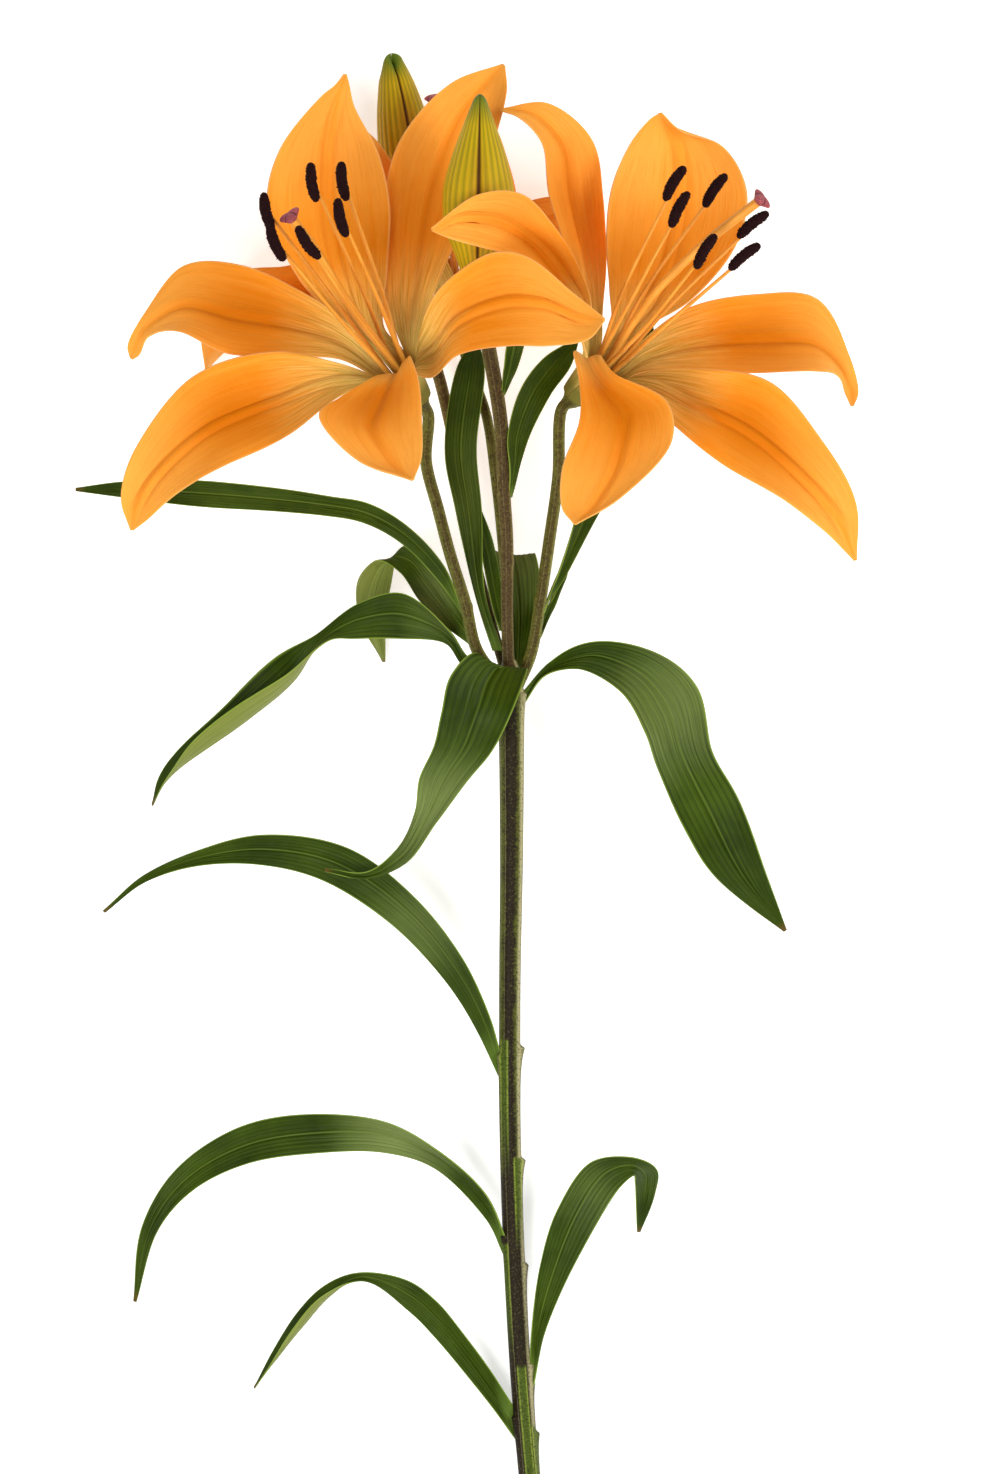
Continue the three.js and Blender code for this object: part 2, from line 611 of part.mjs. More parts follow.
addLeaf('stem_leaf_mid_left', 'stem', [
  [0.8, -114, 17, 1.6, -106, 20],
  [-5.3, -98.7, 20, -1, -94, 25],
  [-17, -81, 23, -9.5, -74.5, 29],
  [-34.7, -62, 26, -25, -54.7, 32],
  [-57, -48.3, 26, -49, -37, 31],
  [-78.7, -43, 23, -76.7, -32.7, 25],
  [-100, -43.5, 16, -100, -38.5, 17],
  [-117, -49, 8, -118, -47.3, 9],
  [-131, -59, 1],
]);
addLeaf('whorl_leaf_left', 'whorl', [
  [0.9, 12, 41, 0.5, 17, 43],
  [-10, 23, 43, -9, 27.5, 46],
  [-16.5, 31, 48, -14.5, 36, 53],
  [-32, 33, 50, -30, 48, 55],
  [-46, 33, 46, -45, 44.5, 51],
  [-56, 32, 43, -60, 34, 39, 0.4],
  [-70, 21, 38, -72, 26.5, 28, 1.1],
  [-86, 9.5, 30, -88, 13, 20, 1.3],
  [-103, -3.5, 19, -104, -1.5, 11, 1.2],
  [-110.5, -14, 9, -112.5, -14, 5, 0.7],
  [-115, -23, 1.5],
]);
addLeaf('whorl_leaf_front', 'whorl', [
  [8.8, 21, 49.3, 3.3, 21, 49.3],
  [12, 23.5, 55, -6, 27.5, 56],
  [10.5, 18, 60, -14, 20, 60],
  [7, 9, 62, -17, 8, 61],
  [0, -5, 58, -19.5, -3, 56],
  [-9, -16, 52, -24, -13, 50],
  [-18, -28, 45, -26, -25, 44],
  [-29, -42.5, 39, -32, -37.5, 39],
  [-42, -47.4, 37, -42, -45.2, 37],
  [-56, -44.5, 37],
]);
addLeaf('whorl_leaf_right', 'whorl', [
  [11, 15.5, 41, 10.8, 10.5, 40],
  [19, 25, 46, 17, 20, 45],
  [36.3, 32, 54, 28, 22.5, 52],
  [56, 27.3, 52, 42.3, 15, 52],
  [68, 17, 46, 50, 2, 47],
  [73, -4, 36, 55.5, -12, 37],
  [83, -22, 23, 64, -31, 24],
  [91.2, -44, 11, 76, -49, 11],
  [98.5, -65.5, 1],
]);
addLeaf('stalk_leaf_long_left', 'left', [
  [-11.3, 41, 54, -11.2, 43, 56],
  [-17.5, 52, 56, -16, 57, 58],
  [-29, 63.5, 57, -29, 71, 59],
  [-42, 71, 56, -41, 78, 57],
  [-56, 74, 52, -55, 80.5, 54],
  [-94, 76.7, 42, -94, 85.7, 44],
  [-122, 80, 36, -122, 85.7, 36],
  [-139.5, 83, 32],
]);
addLeaf('whorl_leaf_back_left', 'left', [
  [-8, 31, 50, -7, 35, 49],
  [-18, 39, 44, -13, 47, 46],
  [-25, 46, 40, -20, 58, 42],
  [-31, 55, 36, -26, 64, 37],
  [-38, 59, 31, -31, 62.5, 32],
  [-45, 53, 24, -34, 50, 25],
  [-45, 42, 16, -36, 40, 17],
  [-36.5, 25.5, 3],
]);
addLeaf('whorl_leaf_upright_left', 'crown', [
  [-4.5, 31, 46.5, -1, 31, 47],
  [-9.5, 50, 47, -6, 50, 47],
  [-16, 78, 46, -7, 78, 46],
  [-19.5, 98, 45, -8.7, 98, 46],
  [-15.5, 125, 47, -6, 125, 48],
  [-9, 135, 49],
]);
addLeaf('whorl_leaf_narrow', 'centreBud', [
  [0.2, 36, 45, 2.2, 36, 44],
  [-3, 51, 42, 1.6, 52, 40],
  [-5.5, 66, 40.5, -1, 65, 38.5],
  [-7, 80, 40],
]);
addLeaf('whorl_leaf_back', 'crown', [
  [9, 21, 36, 13, 22, 36],
  [5, 42, 32, 17, 42, 32],
  [1, 58, 30, 18, 56, 30],
  [-0.3, 65, 26, 16.5, 62.5, 26],
  [1, 60, 19, 16, 57, 19],
  [4, 45, 11, 15, 43, 11],
  [9, 30, 4],
]);
addLeaf('stalk_leaf_right', 'right', [
  [18.8, 41, 50.5, 18.8, 43, 48],
  [21, 50, 50, 24, 53, 47],
  [26.5, 68, 50, 34, 70, 46],
  [33, 90, 51, 44.5, 90, 48],
  [41, 112, 52, 54, 113, 50],
  [46.5, 127, 54, 55.5, 128, 53],
  [53.5, 138, 56],
]);
addLeaf('stalk_bract_right', 'right', [
  [15.9, 32, 43.6, 17.3, 33, 44.4],
  [19, 42, 42, 21.5, 43, 40],
  [22.5, 49, 41, 24.5, 50, 40],
  [26, 55, 41],
]);
addLeaf('stalk_bract_centre', 'centreBud', [
  [7, 80, 55.5, 8, 80, 54.5],
  [6, 90, 59.5, 10, 91.5, 57],
  [5.5, 100, 61.5, 13.5, 102.5, 56],
  [9, 115, 59, 20, 114.5, 53],
  [17, 126, 55, 26, 123, 50],
  [29, 133, 50],
]);
addLeaf('stalk_bract_top', 'centreBud', [
  [4.2, 114, 62, 5.4, 114, 61.5],
  [4, 122, 65, 8, 122, 63],
  [5, 131, 67, 11, 131, 65],
  [11, 141, 68],
]);

// ---- the origin is the middle of the bottom of the whole plant ----
const box = new THREE.Box3().setFromObject(model);
const middle = box.getCenter(point(0, 0, 0));
model.position.set(-middle.x, -middle.y, -box.min.z);

export default plant;
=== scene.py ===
import bpy
import numpy as np
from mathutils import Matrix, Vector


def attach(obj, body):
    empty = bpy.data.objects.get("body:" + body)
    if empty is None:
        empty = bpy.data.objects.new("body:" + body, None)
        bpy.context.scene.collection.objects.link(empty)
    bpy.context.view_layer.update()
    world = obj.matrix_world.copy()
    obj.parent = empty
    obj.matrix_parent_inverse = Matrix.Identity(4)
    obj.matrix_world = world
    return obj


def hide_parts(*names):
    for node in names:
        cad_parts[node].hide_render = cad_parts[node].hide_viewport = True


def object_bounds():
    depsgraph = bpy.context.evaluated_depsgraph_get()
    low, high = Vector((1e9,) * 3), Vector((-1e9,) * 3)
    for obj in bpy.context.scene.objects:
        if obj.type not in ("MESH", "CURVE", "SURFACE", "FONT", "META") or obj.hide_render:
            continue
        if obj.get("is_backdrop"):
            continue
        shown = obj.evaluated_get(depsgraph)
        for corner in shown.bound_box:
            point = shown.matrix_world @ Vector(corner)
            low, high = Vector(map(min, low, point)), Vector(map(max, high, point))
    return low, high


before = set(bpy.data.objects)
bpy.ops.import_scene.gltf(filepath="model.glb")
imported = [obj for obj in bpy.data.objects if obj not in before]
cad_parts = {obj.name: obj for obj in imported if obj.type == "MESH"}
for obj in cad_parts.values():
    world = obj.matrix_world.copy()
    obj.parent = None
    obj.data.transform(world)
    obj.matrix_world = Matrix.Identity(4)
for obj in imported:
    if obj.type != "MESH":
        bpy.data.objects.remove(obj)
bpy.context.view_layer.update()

# -------------------- main stem and flower stalks
# The real stem is a fleshy, slightly ribbed cane about 8 mm thick, green below a skin that has
# turned brown-purple on the side to the light. It carries small ledges where leaves grew.
# The five stalks part from it at the whorl; their skin is olive with dark, fine warts.
STEM_PATH = [
    [16.484, -290, 3.6], [9.5, -211, 8], [6.3, -141, 14], [6, -88, 22], [6.6, -36, 31],
    [6.3, 16, 43], [5.6, 27, 45],
]
STEM_RADIUS = 3.6
STEM_TOP_RADIUS = 4.3
RECEPTACLE_RADIUS = 5.0
STALK_PATHS = {
    "left": [[4, 17, 44], [-5, 29, 51], [-9, 45, 56], [-14, 61, 59], [-18, 76, 60], [-22, 92, 60]],
    "right": [[8, 16, 43], [13, 28, 47], [16, 45, 51], [19, 65, 54], [22, 87, 57]],
    "back": [[6, 18, 43], [5, 45, 40], [3, 70, 37], [1, 88, 35], [-2, 108, 33]],
    "centre_bud": [[5.6, 20, 45], [5, 42, 49], [5, 65, 52], [4, 81, 55], [3, 104, 59],
                   [-1, 129, 63], [-5, 148, 66]],
    "back_bud": [[5, 20, 42], [-2, 45, 32], [-8, 70, 24], [-12, 95, 18], [-17, 118, 14],
                 [-24, 142, 13], [-27, 165, 15]],
}
STALK_RADIUS = {"left": 2.0, "right": 2.0, "back": 1.7, "centre_bud": 2.0, "back_bud": 1.7}

# The plant's axes are found again in the frame from the cut face at the foot of the stem.
CUT_FACE_SLICE = 0.0008  # metres
stem_points = np.array([v.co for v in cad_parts["stem"].data.vertices])
cut_face = stem_points[stem_points[:, 1] < stem_points[:, 1].min() + CUT_FACE_SLICE]
plant_origin = (cut_face.min(0) + cut_face.max(0)) / 2 - np.array(STEM_PATH[0]) / 1000


def unit(vectors):
    """Vectors scaled to length one."""
    return vectors / np.linalg.norm(vectors, axis=-1, keepdims=True)


def ramp(low, high, x):
    """0 on the low side, 1 past high, and a smooth S between: 3 w^2 - 2 w^3."""
    w = np.clip((x - low) / (high - low), 0, 1)
    return w * w * (3 - 2 * w)


def bump(x, width):
    """A bell: 1 at x = 0, falling away over about the given width, exp(-(x / width)^2)."""
    return np.exp(-(x / width) ** 2)


def signed_turn(angle):
    """The same turn, counted between minus and plus half a turn."""
    return (angle + np.pi) % (2 * np.pi) - np.pi


def round_end(t, span, least):
    """1, then down over the last span of t as a quarter circle goes: the square root of
    1 - ((t - (1 - span)) / span)^2, which is never let under least."""
    return np.clip(1 - (np.clip(t - (1 - span), 0, 1) / span) ** 2, least, 1) ** 0.5


def curve(points, t):
    """Centripetal Catmull-Rom curve through the points, t from 0 to 1, each stretch an equal
    share of t: a cubic in each stretch whose end slopes weigh the neighbours by the square
    root of their distance."""
    points = np.asarray(points, float)
    ends = 2 * points[[0, -1]] - points[[1, -2]]
    padded = np.concatenate([ends[:1], points, ends[1:]])
    stretch = np.clip((t * (len(points) - 1)).astype(int), 0, len(points) - 2)
    w = (t * (len(points) - 1) - stretch)[:, None]
    p0, p1, p2, p3 = (padded[stretch + k] for k in range(4))
    d0, d1, d2 = (np.maximum(np.linalg.norm(b - a, axis=1), 1e-6)[:, None] ** 0.5
                  for a, b in ((p0, p1), (p1, p2), (p2, p3)))
    m1 = ((p1 - p0) / d0 - (p2 - p0) / (d0 + d1) + (p2 - p1) / d1) * d1
    m2 = ((p2 - p1) / d1 - (p3 - p1) / (d1 + d2) + (p3 - p2) / d2) * d1
    return (p1 + m1 * w + (3 * (p2 - p1) - 2 * m1 - m2) * w ** 2
            + (2 * (p1 - p2) + m1 + m2) * w ** 3)


def even_path(points, t):
    """The same curve at shares t of its length."""
    fine = curve(points, np.linspace(0, 1, 2000))
    run = np.append(0, np.cumsum(np.linalg.norm(np.diff(fine, axis=0), axis=1)))
    return np.stack([np.interp(t * run[-1], run, axis) for axis in fine.T], 1)


def tube(points, radius, rows, ring, shares=None):
    """A profile carried along a path. Ring angle 0 points to the top, +Z, and a quarter turn on
    is the path's right side. radius(t, angle, centre) gives millimetres on the whole grid. Each
    point is the path's own, plus radius x (cos angle x top + sin angle x side)."""
    t = np.linspace(0, 1, rows) if shares is None else shares
    centre = even_path(points, t)
    forward = unit(np.gradient(centre, axis=0))
    side = unit(np.cross(forward, [0, 0, 1]))
    top = np.cross(side, forward)
    angle = np.linspace(0, 2 * np.pi, ring, endpoint=False)
    reach = radius(t[:, None], angle[None, :], centre[:, None, :])[..., None]
    upward = np.cos(angle)[None, :, None] * top[:, None]
    way = upward + np.sin(angle)[None, :, None] * side[:, None]
    return centre[:, None] + reach * way, t[:, None] + 0 * angle, angle + 0 * t[:, None]


def shell(name, rings, material, slot, node_name, **marks):
    """One closed mesh from a grid of rings: each ring joins the next, and the two ends close on
    their own middle point. Marks are named numbers on the grid, for the material to read."""
    rows, ring = rings.shape[:2]
    verts = np.concatenate([rings.reshape(-1, 3), rings[[0, -1]].mean(1)]) / 1000 + plant_origin
    here = np.arange(rows * ring).reshape(rows, ring)
    beside = np.roll(here, -1, 1)
    quads = np.stack([here[:-1], beside[:-1], beside[1:], here[1:]], -1).reshape(-1, 4)
    foot = np.stack([0 * here[0] + rows * ring, beside[0], here[0]], -1)
    tip = np.stack([0 * here[0] + rows * ring + 1, here[-1], beside[-1]], -1)
    corners = np.concatenate([quads.ravel(), foot.ravel(), tip.ravel()])
    starts = np.concatenate([np.arange(len(quads)) * 4, len(quads) * 4 + np.arange(2 * ring) * 3])
    mesh = bpy.data.meshes.new(name)
    mesh.vertices.add(len(verts))
    mesh.vertices.foreach_set("co", verts.astype(np.float32).ravel())
    mesh.loops.add(len(corners))
    mesh.loops.foreach_set("vertex_index", corners.astype(np.int32))
    mesh.polygons.add(len(starts))
    mesh.polygons.foreach_set("loop_start", starts.astype(np.int32))
    mesh.polygons.foreach_set("use_smooth", np.ones(len(starts), bool))
    mesh.update(calc_edges=True)
    for label, values in marks.items():
        values = np.broadcast_to(values, (rows, ring))
        whole = np.append(values.ravel(), [values[0].mean(), values[-1].mean()])
        numbers = mesh.attributes.new(label, "FLOAT", "POINT").data
        numbers.foreach_set("value", whole.astype(np.float32))
    mesh.materials.append(material)
    piece = bpy.data.objects.new(name, mesh)
    bpy.context.scene.collection.objects.link(piece)
    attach(piece, "root")
    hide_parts(node_name)
    return piece


def linear(hex_colour):
    """An sRGB hex colour as linear red, green, blue and an alpha of 1."""
    value = np.array([int(hex_colour[i:i + 2], 16) for i in (0, 2, 4)]) / 255
    value = np.where(value <= 0.04045, value / 12.92, ((value + 0.055) / 1.055) ** 2.4)
    return (*value.tolist(), 1.0)


def add_node(tree, kind, inputs, **settings):
    """Adds a node: settings are its own properties; inputs gives each socket, by name or
    number, a value, a hex colour, the output that feeds it, or "@" and the name of a mark that
    the mesh carries. Returns the node's outputs."""
    made = tree.nodes.new(kind)
    for key, value in settings.items():
        setattr(made, key, value)
    for socket, value in inputs.items():
        if isinstance(value, str) and value.startswith("@"):
            value = add_node(tree, "ShaderNodeAttribute", {}, attribute_name=value[1:])["Fac"]
        if isinstance(value, bpy.types.NodeSocket):
            tree.links.new(value, made.inputs[socket])
        else:
            made.inputs[socket].default_value = linear(value) if isinstance(value, str) else value
    return made.outputs


def new_material(name):
    """An empty node material, and its tree."""
    material = bpy.data.materials.new(name)
    material.use_nodes = True
    material.node_tree.nodes.clear()
    return material, material.node_tree


def painted(tree, colour, *coats):
    """Lays coats over a colour, in turn. Each is a value, where on it the coat starts and where
    it is full, the greatest share of it that shows, and its own colour."""
    for value, start, full, share, coat in coats:
        amount = add_node(tree, "ShaderNodeMapRange", {0: value, 1: start, 2: full, 4: share})[0]
        colour = add_node(tree, "ShaderNodeMix", {0: amount, 6: colour, 7: coat},
                          data_type="RGBA")[2]
    return colour


def speckle(tree, scale, detail):
    """Noise that is fixed in the plant's own space, with scale periods to the metre."""
    place = add_node(tree, "ShaderNodeTexCoord", {})["Object"]
    return add_node(tree, "ShaderNodeTexNoise",
                    {"Vector": place, "Scale": scale, "Detail": detail})["Fac"]


def plant_grain(tree, across, along, detail, scales):
    """Noise drawn out along a blade or stem: scales are its periods across and along it."""
    place = add_node(tree, "ShaderNodeCombineXYZ", {
        0: add_node(tree, "ShaderNodeMath", {0: across, 1: scales[0]}, operation="MULTIPLY")[0],
        1: add_node(tree, "ShaderNodeMath", {0: along, 1: scales[1]}, operation="MULTIPLY")[0],
        2: "@number"})[0]
    return add_node(tree, "ShaderNodeTexNoise", {"Vector": place, "Scale": 1.0, "Detail": detail,
                                                 "Roughness": 0.6})["Fac"]


def finish_skin(tree, colour, relief, relief_depth, settings, relief_strength):
    """Ends a material: the colour and relief go to one shader with the given settings."""
    normal = add_node(tree, "ShaderNodeBump", {"Height": relief, "Strength": relief_strength,
                                               "Distance": relief_depth})["Normal"]
    shader = add_node(tree, "ShaderNodeBsdfPrincipled",
                      {"Base Color": colour, "Normal": normal, **settings})[0]
    add_node(tree, "ShaderNodeOutputMaterial", {0: shader})


def stem_skin(name, green, edge, brown, brown_from, brown_to):
    """Living stem epidermis: waxy, dull, green where shaded and brown-purple where it met the
    sun, with pale ribs that also carry a painted highlight, and warts 0.4 to 0.8 mm across.
    Gives a matt, finely speckled cane."""
    material, tree = new_material(name)
    warts, blotches = speckle(tree, 1600.0, 2.0), speckle(tree, 160.0, 3.0)
    streaks = plant_grain(tree, "@turn", "@along", 3.0, (5.0, 9.0))
    tanned = add_node(tree, "ShaderNodeMath", {0: "@tan", 1: streaks}, operation="ADD")[0]
    tanned = add_node(tree, "ShaderNodeMath", {0: tanned, 1: blotches}, operation="ADD")[0]
    colour = painted(
        tree, green, (tanned, brown_from, brown_to, 1.0, brown), ("@rib", 0.2, 1.0, 0.75, edge),
        ("@trace", 0.0, 1.0, 0.85, "43560E"), ("@trace_edge", 0.0, 1.0, 0.75, "8EA23A"),
        (warts, 0.52, 0.66, 0.7, "2A2210"), (warts, 0.44, 0.34, 0.18, "8A8448"),
        ("@cut", 0.3, 0.8, 1.0, "C9C79A"))
    finish_skin(tree, colour, warts, 0.00022,
                {"Roughness": 0.55, "IOR": 1.42, "Specular IOR Level": 0.16}, 0.6)
    return material


stem_material = stem_skin(
    "stem epidermis, sun-browned", "50561C", "B4AC80", "1C1408", 1.0, 1.5)
stalk_material = stem_skin(
    "flower stalk epidermis, warty", "6A6C2C", "9A9450", "463C16", 1.2, 1.8)
bud_stalk_material = stem_skin(
    "bud stalk epidermis, browned", "6E6434", "95894E", "46361C", 1.05, 1.65)

# Height up the stem, turn round it from the top (+ is right), and rise of each leaf ledge,
# which stops short over its lip and fades out below it over its run.
LEDGE_LIP = 0.8
LEDGE_RUN = 5.0
STEM_LEDGES = [
    [-235, 1.5, 1.2], [-212, 1.35, 1.3], [-178, 1.45, 1.2], [-142.5, 1.4, 1.5], [-104.5, 1.45, 1.6],
    [-107, -1.3, 1.0], [-168, -1.2, 1.0], [-229, -1.2, 1.0], [-218, 1.7, 0.9], [14.5, 1.2, 1.3],
    [11, -1.4, 0.9], [19, 0.2, 0.8],
]

# Below some ledges a green leaf trace runs down the stem: height of its top, turn and length.
STEM_TRACES = [
    [-141, 0.7, 34], [-211, 0.1, 70], [-101, -0.6, 50], [-170, -1.0, 42], [-231, 1.1, 60],
]
TRACE_EDGE_TURN = 0.38  # from the middle of a trace to its pale edge
CROWN_SPAN = 0.035  # the share of the stem that rounds over between the stalks
CUT_BEVEL = 0.12  # of the radius


def stem_radius(t, angle, centre):
    """The cane's radius, its five faint ribs, and its ledges, sharp above and running out
    below, with a bevel at the cut and a rounded crown."""
    whole = STEM_RADIUS + (STEM_TOP_RADIUS - STEM_RADIUS) * ramp(0.6, 1, t)
    whole = whole * (1 + 0.018 * np.cos(5 * angle + 0.6) + 0.012 * np.cos(3 * angle))
    for height, turn, rise in STEM_LEDGES:
        above = centre[..., 1] - height
        lip = np.where(above > 0, bump(above, LEDGE_LIP), np.exp(np.minimum(above, 0) / LEDGE_RUN))
        whole = whole + rise * lip * bump(signed_turn(angle - turn), 0.3 + 0.12 * lip)
    return whole * (1 - CUT_BEVEL * (t <= 0)) * round_end(t, CROWN_SPAN, 0.02)


# The first rows stand close together, for the bevel of the cut.
stem_shares = np.append([0, 0.0008], np.linspace(0.003, 1, 620))
rings, along, turn = tube(STEM_PATH, stem_radius, None, 88, stem_shares)
sideways = signed_turn(turn)
trace = trace_edge = 0 * along
for top, place, length in STEM_TRACES:
    down = (top - rings[..., 1]) / length
    inside = ramp(0, 0.03, down) * ramp(0, 0.6, 1 - down)
    trace = trace + inside * ramp(0.42, 0.3, np.abs(sideways - place))
    trace_edge = trace_edge + inside * bump(np.abs(sideways - place) - TRACE_EDGE_TURN, 0.07)
# The tan lies on top of the stem, and all round its lower part; the pale ridges on its two sides
# carry a painted highlight.
tan = 0.9 * bump(sideways + 0.1, 0.5) + ramp(0.6, 0.2, along)
right_ridge_highlight = 1.1 * bump(sideways - 1.0, 0.3)
left_ridge_highlight = (0.1 + 0.35 * along) * bump(sideways + 1.15, 0.25)
thin_rib = 0.5 * bump(sideways + 0.55, 0.07)
shell("stem_cane", rings, stem_material, "stem", "stem", along=along * 30, turn=np.cos(turn),
      trace=trace, trace_edge=trace_edge, number=0.0, cut=(along <= 0) * 1.0, tan=tan,
      rib=right_ridge_highlight + left_ridge_highlight + thin_rib)

# -------------------- flower seats and stalks
# A flower stands on a swollen seat at the end of its stalk. A stalk is fleshy like the stem but
# thinner, and a bud's stalk only thickens a little towards the bud.
THROAT_DEPTH = 15.0
FOOT_HEIGHT = 0.05  # of the feet of petals, stamens and pistil above the seat
NECK_HEIGHTS = (-8, -2.4, 0)  # where the stalk's middle line comes up through the seat
BUD_SWELL = 0.25  # of a bud stalk's radius
# The middle of each seat, the way its flower faces, and the turn of its first petal in degrees.
FLOWERS = {
    "left": ([-25, 113, 64], [-0.456, 0.656, 0.6], -12),
    "right": ([28, 114, 62], [0.6, 0.6, 0.53], 8),
    "back": ([-10, 136, 32], [-0.12, 0.98, -0.1], 30),
}


def in_flower(flower, height, radius, degrees):
    """A point that high above the flower's seat and that far out, at a turn round its axis that
    starts from the side nearest +Z."""
    seat, facing, _ = FLOWERS[flower]
    facing = unit(np.array(facing, float))
    front = unit(np.array([0, 0, 1]) - facing * facing[2])
    turn = np.radians(degrees)
    out = np.cos(turn) * front + np.sin(turn) * np.cross(facing, front)
    return np.array(seat) + facing * height + out * radius


def stalk_path(stalk):
    """A stalk's bends, and on up through the seat of its flower where it has one."""
    neck = [in_flower(stalk, height, 0, 0) for height in NECK_HEIGHTS if stalk in FLOWERS]
    return STALK_PATHS[stalk] + neck


for number, (stalk, thick) in enumerate(STALK_RADIUS.items()):
    if stalk in FLOWERS:
        skin, swell, swell_from = stalk_material, (RECEPTACLE_RADIUS - 1) / thick - 1, 0.94
    else:
        skin, swell, swell_from = bud_stalk_material, BUD_SWELL, 0.0

    def stalk_radius(t, angle, centre):
        """Even along its length, with three blunt edges and a slight joint, swelling into the
        seat or the bud."""
        joint = 0.12 * bump(t - 0.3, 0.01)
        edges = 0.03 * np.cos(3 * angle + number)
        return thick * (1 + swell * ramp(swell_from, 1, t) + edges + joint)

    rings, along, turn = tube(stalk_path(stalk), stalk_radius, 220, 40)
    sideways = signed_turn(turn)
    # The rib mark here is a thin pale ridge near the top and a pale band down the right flank,
    # which is a painted highlight.
    shell(f"stalk_{stalk}", rings, skin, "stem", "stem", along=along * 12, turn=np.cos(turn),
          trace=0.0, trace_edge=0.0, number=number + 1.0, cut=0.0,
          tan=bump(sideways - 0.1, 0.9) * (1 - 0.3 * along),
          rib=0.5 * bump(sideways + 0.15, 0.07) + 0.5 * bump(sideways - 0.95, 0.25))

# -------------------- petals
# Six petals stand round each seat, in two rings of three. Each is a soft, satiny blade a
# millimetre thick, hollowed along its middle, with a grooved midrib that is doubled on the three
# wide inner petals, and fine lengthwise veins. Its foot narrows to a pale green-cream claw.
PETAL_SOLID = 1.2  # thickness of the solid petal
PETAL_GAP = 0.35  # between its foot and the rim of the seat
TIP_WIDTH = 1.2
CLAW_WIDTH = 4.7
CLAW_RADIUS = RECEPTACLE_RADIUS - PETAL_SOLID / 2 - PETAL_GAP
THROAT_RADIUS = 7.0
THROAT_WIDTH = 7.9
THROAT_CUP = 0.2
PETAL_CUP = 0.28
PETAL_THICKNESS = 1.1
PETAL_STEP = 60  # degrees
RIB_APART = 2.2  # from the middle of an inner petal to either of its two ribs


def with_tip(rows):
    """The last row of an outline is one point. It becomes a narrow end, square to the way the
    blade runs."""
    tip, a, b = np.array(rows[-1]), np.array(rows[-2][:3]), np.array(rows[-2][3:6])
    way = unit(tip - (a + b) / 2)
    across = unit((b - a) - way * np.dot(b - a, way)) * TIP_WIDTH / 2
    return rows[:-1] + [[*(tip - across), *(tip + across)]]


def blade(outline, usual_cup, thickness, relief, rows=104, columns=52):
    """A closed thin blade skinned between two margins. Each outline row is a point on either
    margin, and how far the middle sinks as a share of the half width. Grid: u along, v from -1
    to 1 across; middle surface = margin line - sink (1 - v^2) + relief(u, millimetres across,
    v), and the faces stand half a thickness off it, closing to nothing at the rim."""
    rows_in = with_tip(outline)
    u = np.linspace(0, 1, rows)
    a = curve([r[:3] for r in rows_in], u)
    b = curve([r[3:6] for r in rows_in], u)
    cup = curve([[i, r[6] if len(r) > 6 else usual_cup] for i, r in enumerate(rows_in)], u)[:, 1]
    spread = np.linspace(-1, 1, columns + 1)
    v = spread - 0.08 * np.sin(2 * np.pi * spread)  # closer at the midrib and the rims
    across = b - a
    half = np.linalg.norm(across, axis=1)[:, None] / 2
    upper = unit(np.cross(across, np.gradient((a + b) / 2, axis=0)))
    run = np.append(0, np.cumsum(np.linalg.norm(np.diff((a + b) / 2, axis=0), axis=1)))
    share = (run / run[-1])[:, None]
    height = relief(share, v * half, v) - cup[:, None] * half * (1 - v ** 2)
    middle = a[:, None] + across[:, None] * ((1 + v) / 2)[None, :, None]
    middle = middle + upper[:, None] * height[..., None]
    face = unit(np.cross(np.gradient(middle, axis=1), np.gradient(middle, axis=0)))
    body = thickness / 2 * (1 - v ** 8) ** 0.5 * (0.55 + 0.45 * ramp(0, 0.12, 1 - share))
    top = middle + face * body[..., None]
    below = middle - face * body[..., None]
    rings = np.concatenate([top, below[:, -2:0:-1]], 1)
    whole_v = np.concatenate([v, v[-2:0:-1]]) + 0 * share
    is_upper = np.concatenate([np.ones(columns + 1), np.zeros(columns - 1)]) + 0 * share
    is_upper[:, [0, columns]] = 0.5
    return rings, share + 0 * whole_v, whole_v, is_upper, whole_v * half


# Soft living tissue under a thin smooth wax: a satin that the light sinks into a little, with no
# sharp highlight. Veins lie 0.4 to 0.9 mm apart at the widest part and draw together at the ends.
petal_material, tree = new_material("lily petal, satin orange")
fine_veins = plant_grain(tree, "@across", "@along", 3.0, (36.0, 7.0))
broad_veins = plant_grain(tree, "@across", "@along", 2.0, (8.0, 1.6))
mottle = speckle(tree, 45.0, 3.0)
under = add_node(tree, "ShaderNodeMath", {0: 1.0, 1: "@upper"}, operation="SUBTRACT")[0]
rim = add_node(tree, "ShaderNodeMath", {0: "@across"}, operation="ABSOLUTE")[0]
# The claw: cream with green-tan stripes, fading out a third of the way up. Outside, its foot is
# still green.
ragged = add_node(tree, "ShaderNodeMath", {0: broad_veins, 1: 0.18}, operation="MULTIPLY")[0]
claw_reach = add_node(tree, "ShaderNodeMath", {0: "@along", 1: ragged}, operation="ADD")[0]
stripes = painted(tree, "E6C870", (fine_veins, 0.42, 0.62, 1.0, "A39036"))
foot = add_node(tree, "ShaderNodeMapRange", {0: "@along", 1: 0.13, 2: 0.04})[0]
green_foot = add_node(tree, "ShaderNodeMath", {0: under, 1: foot}, operation="MULTIPLY")[0]
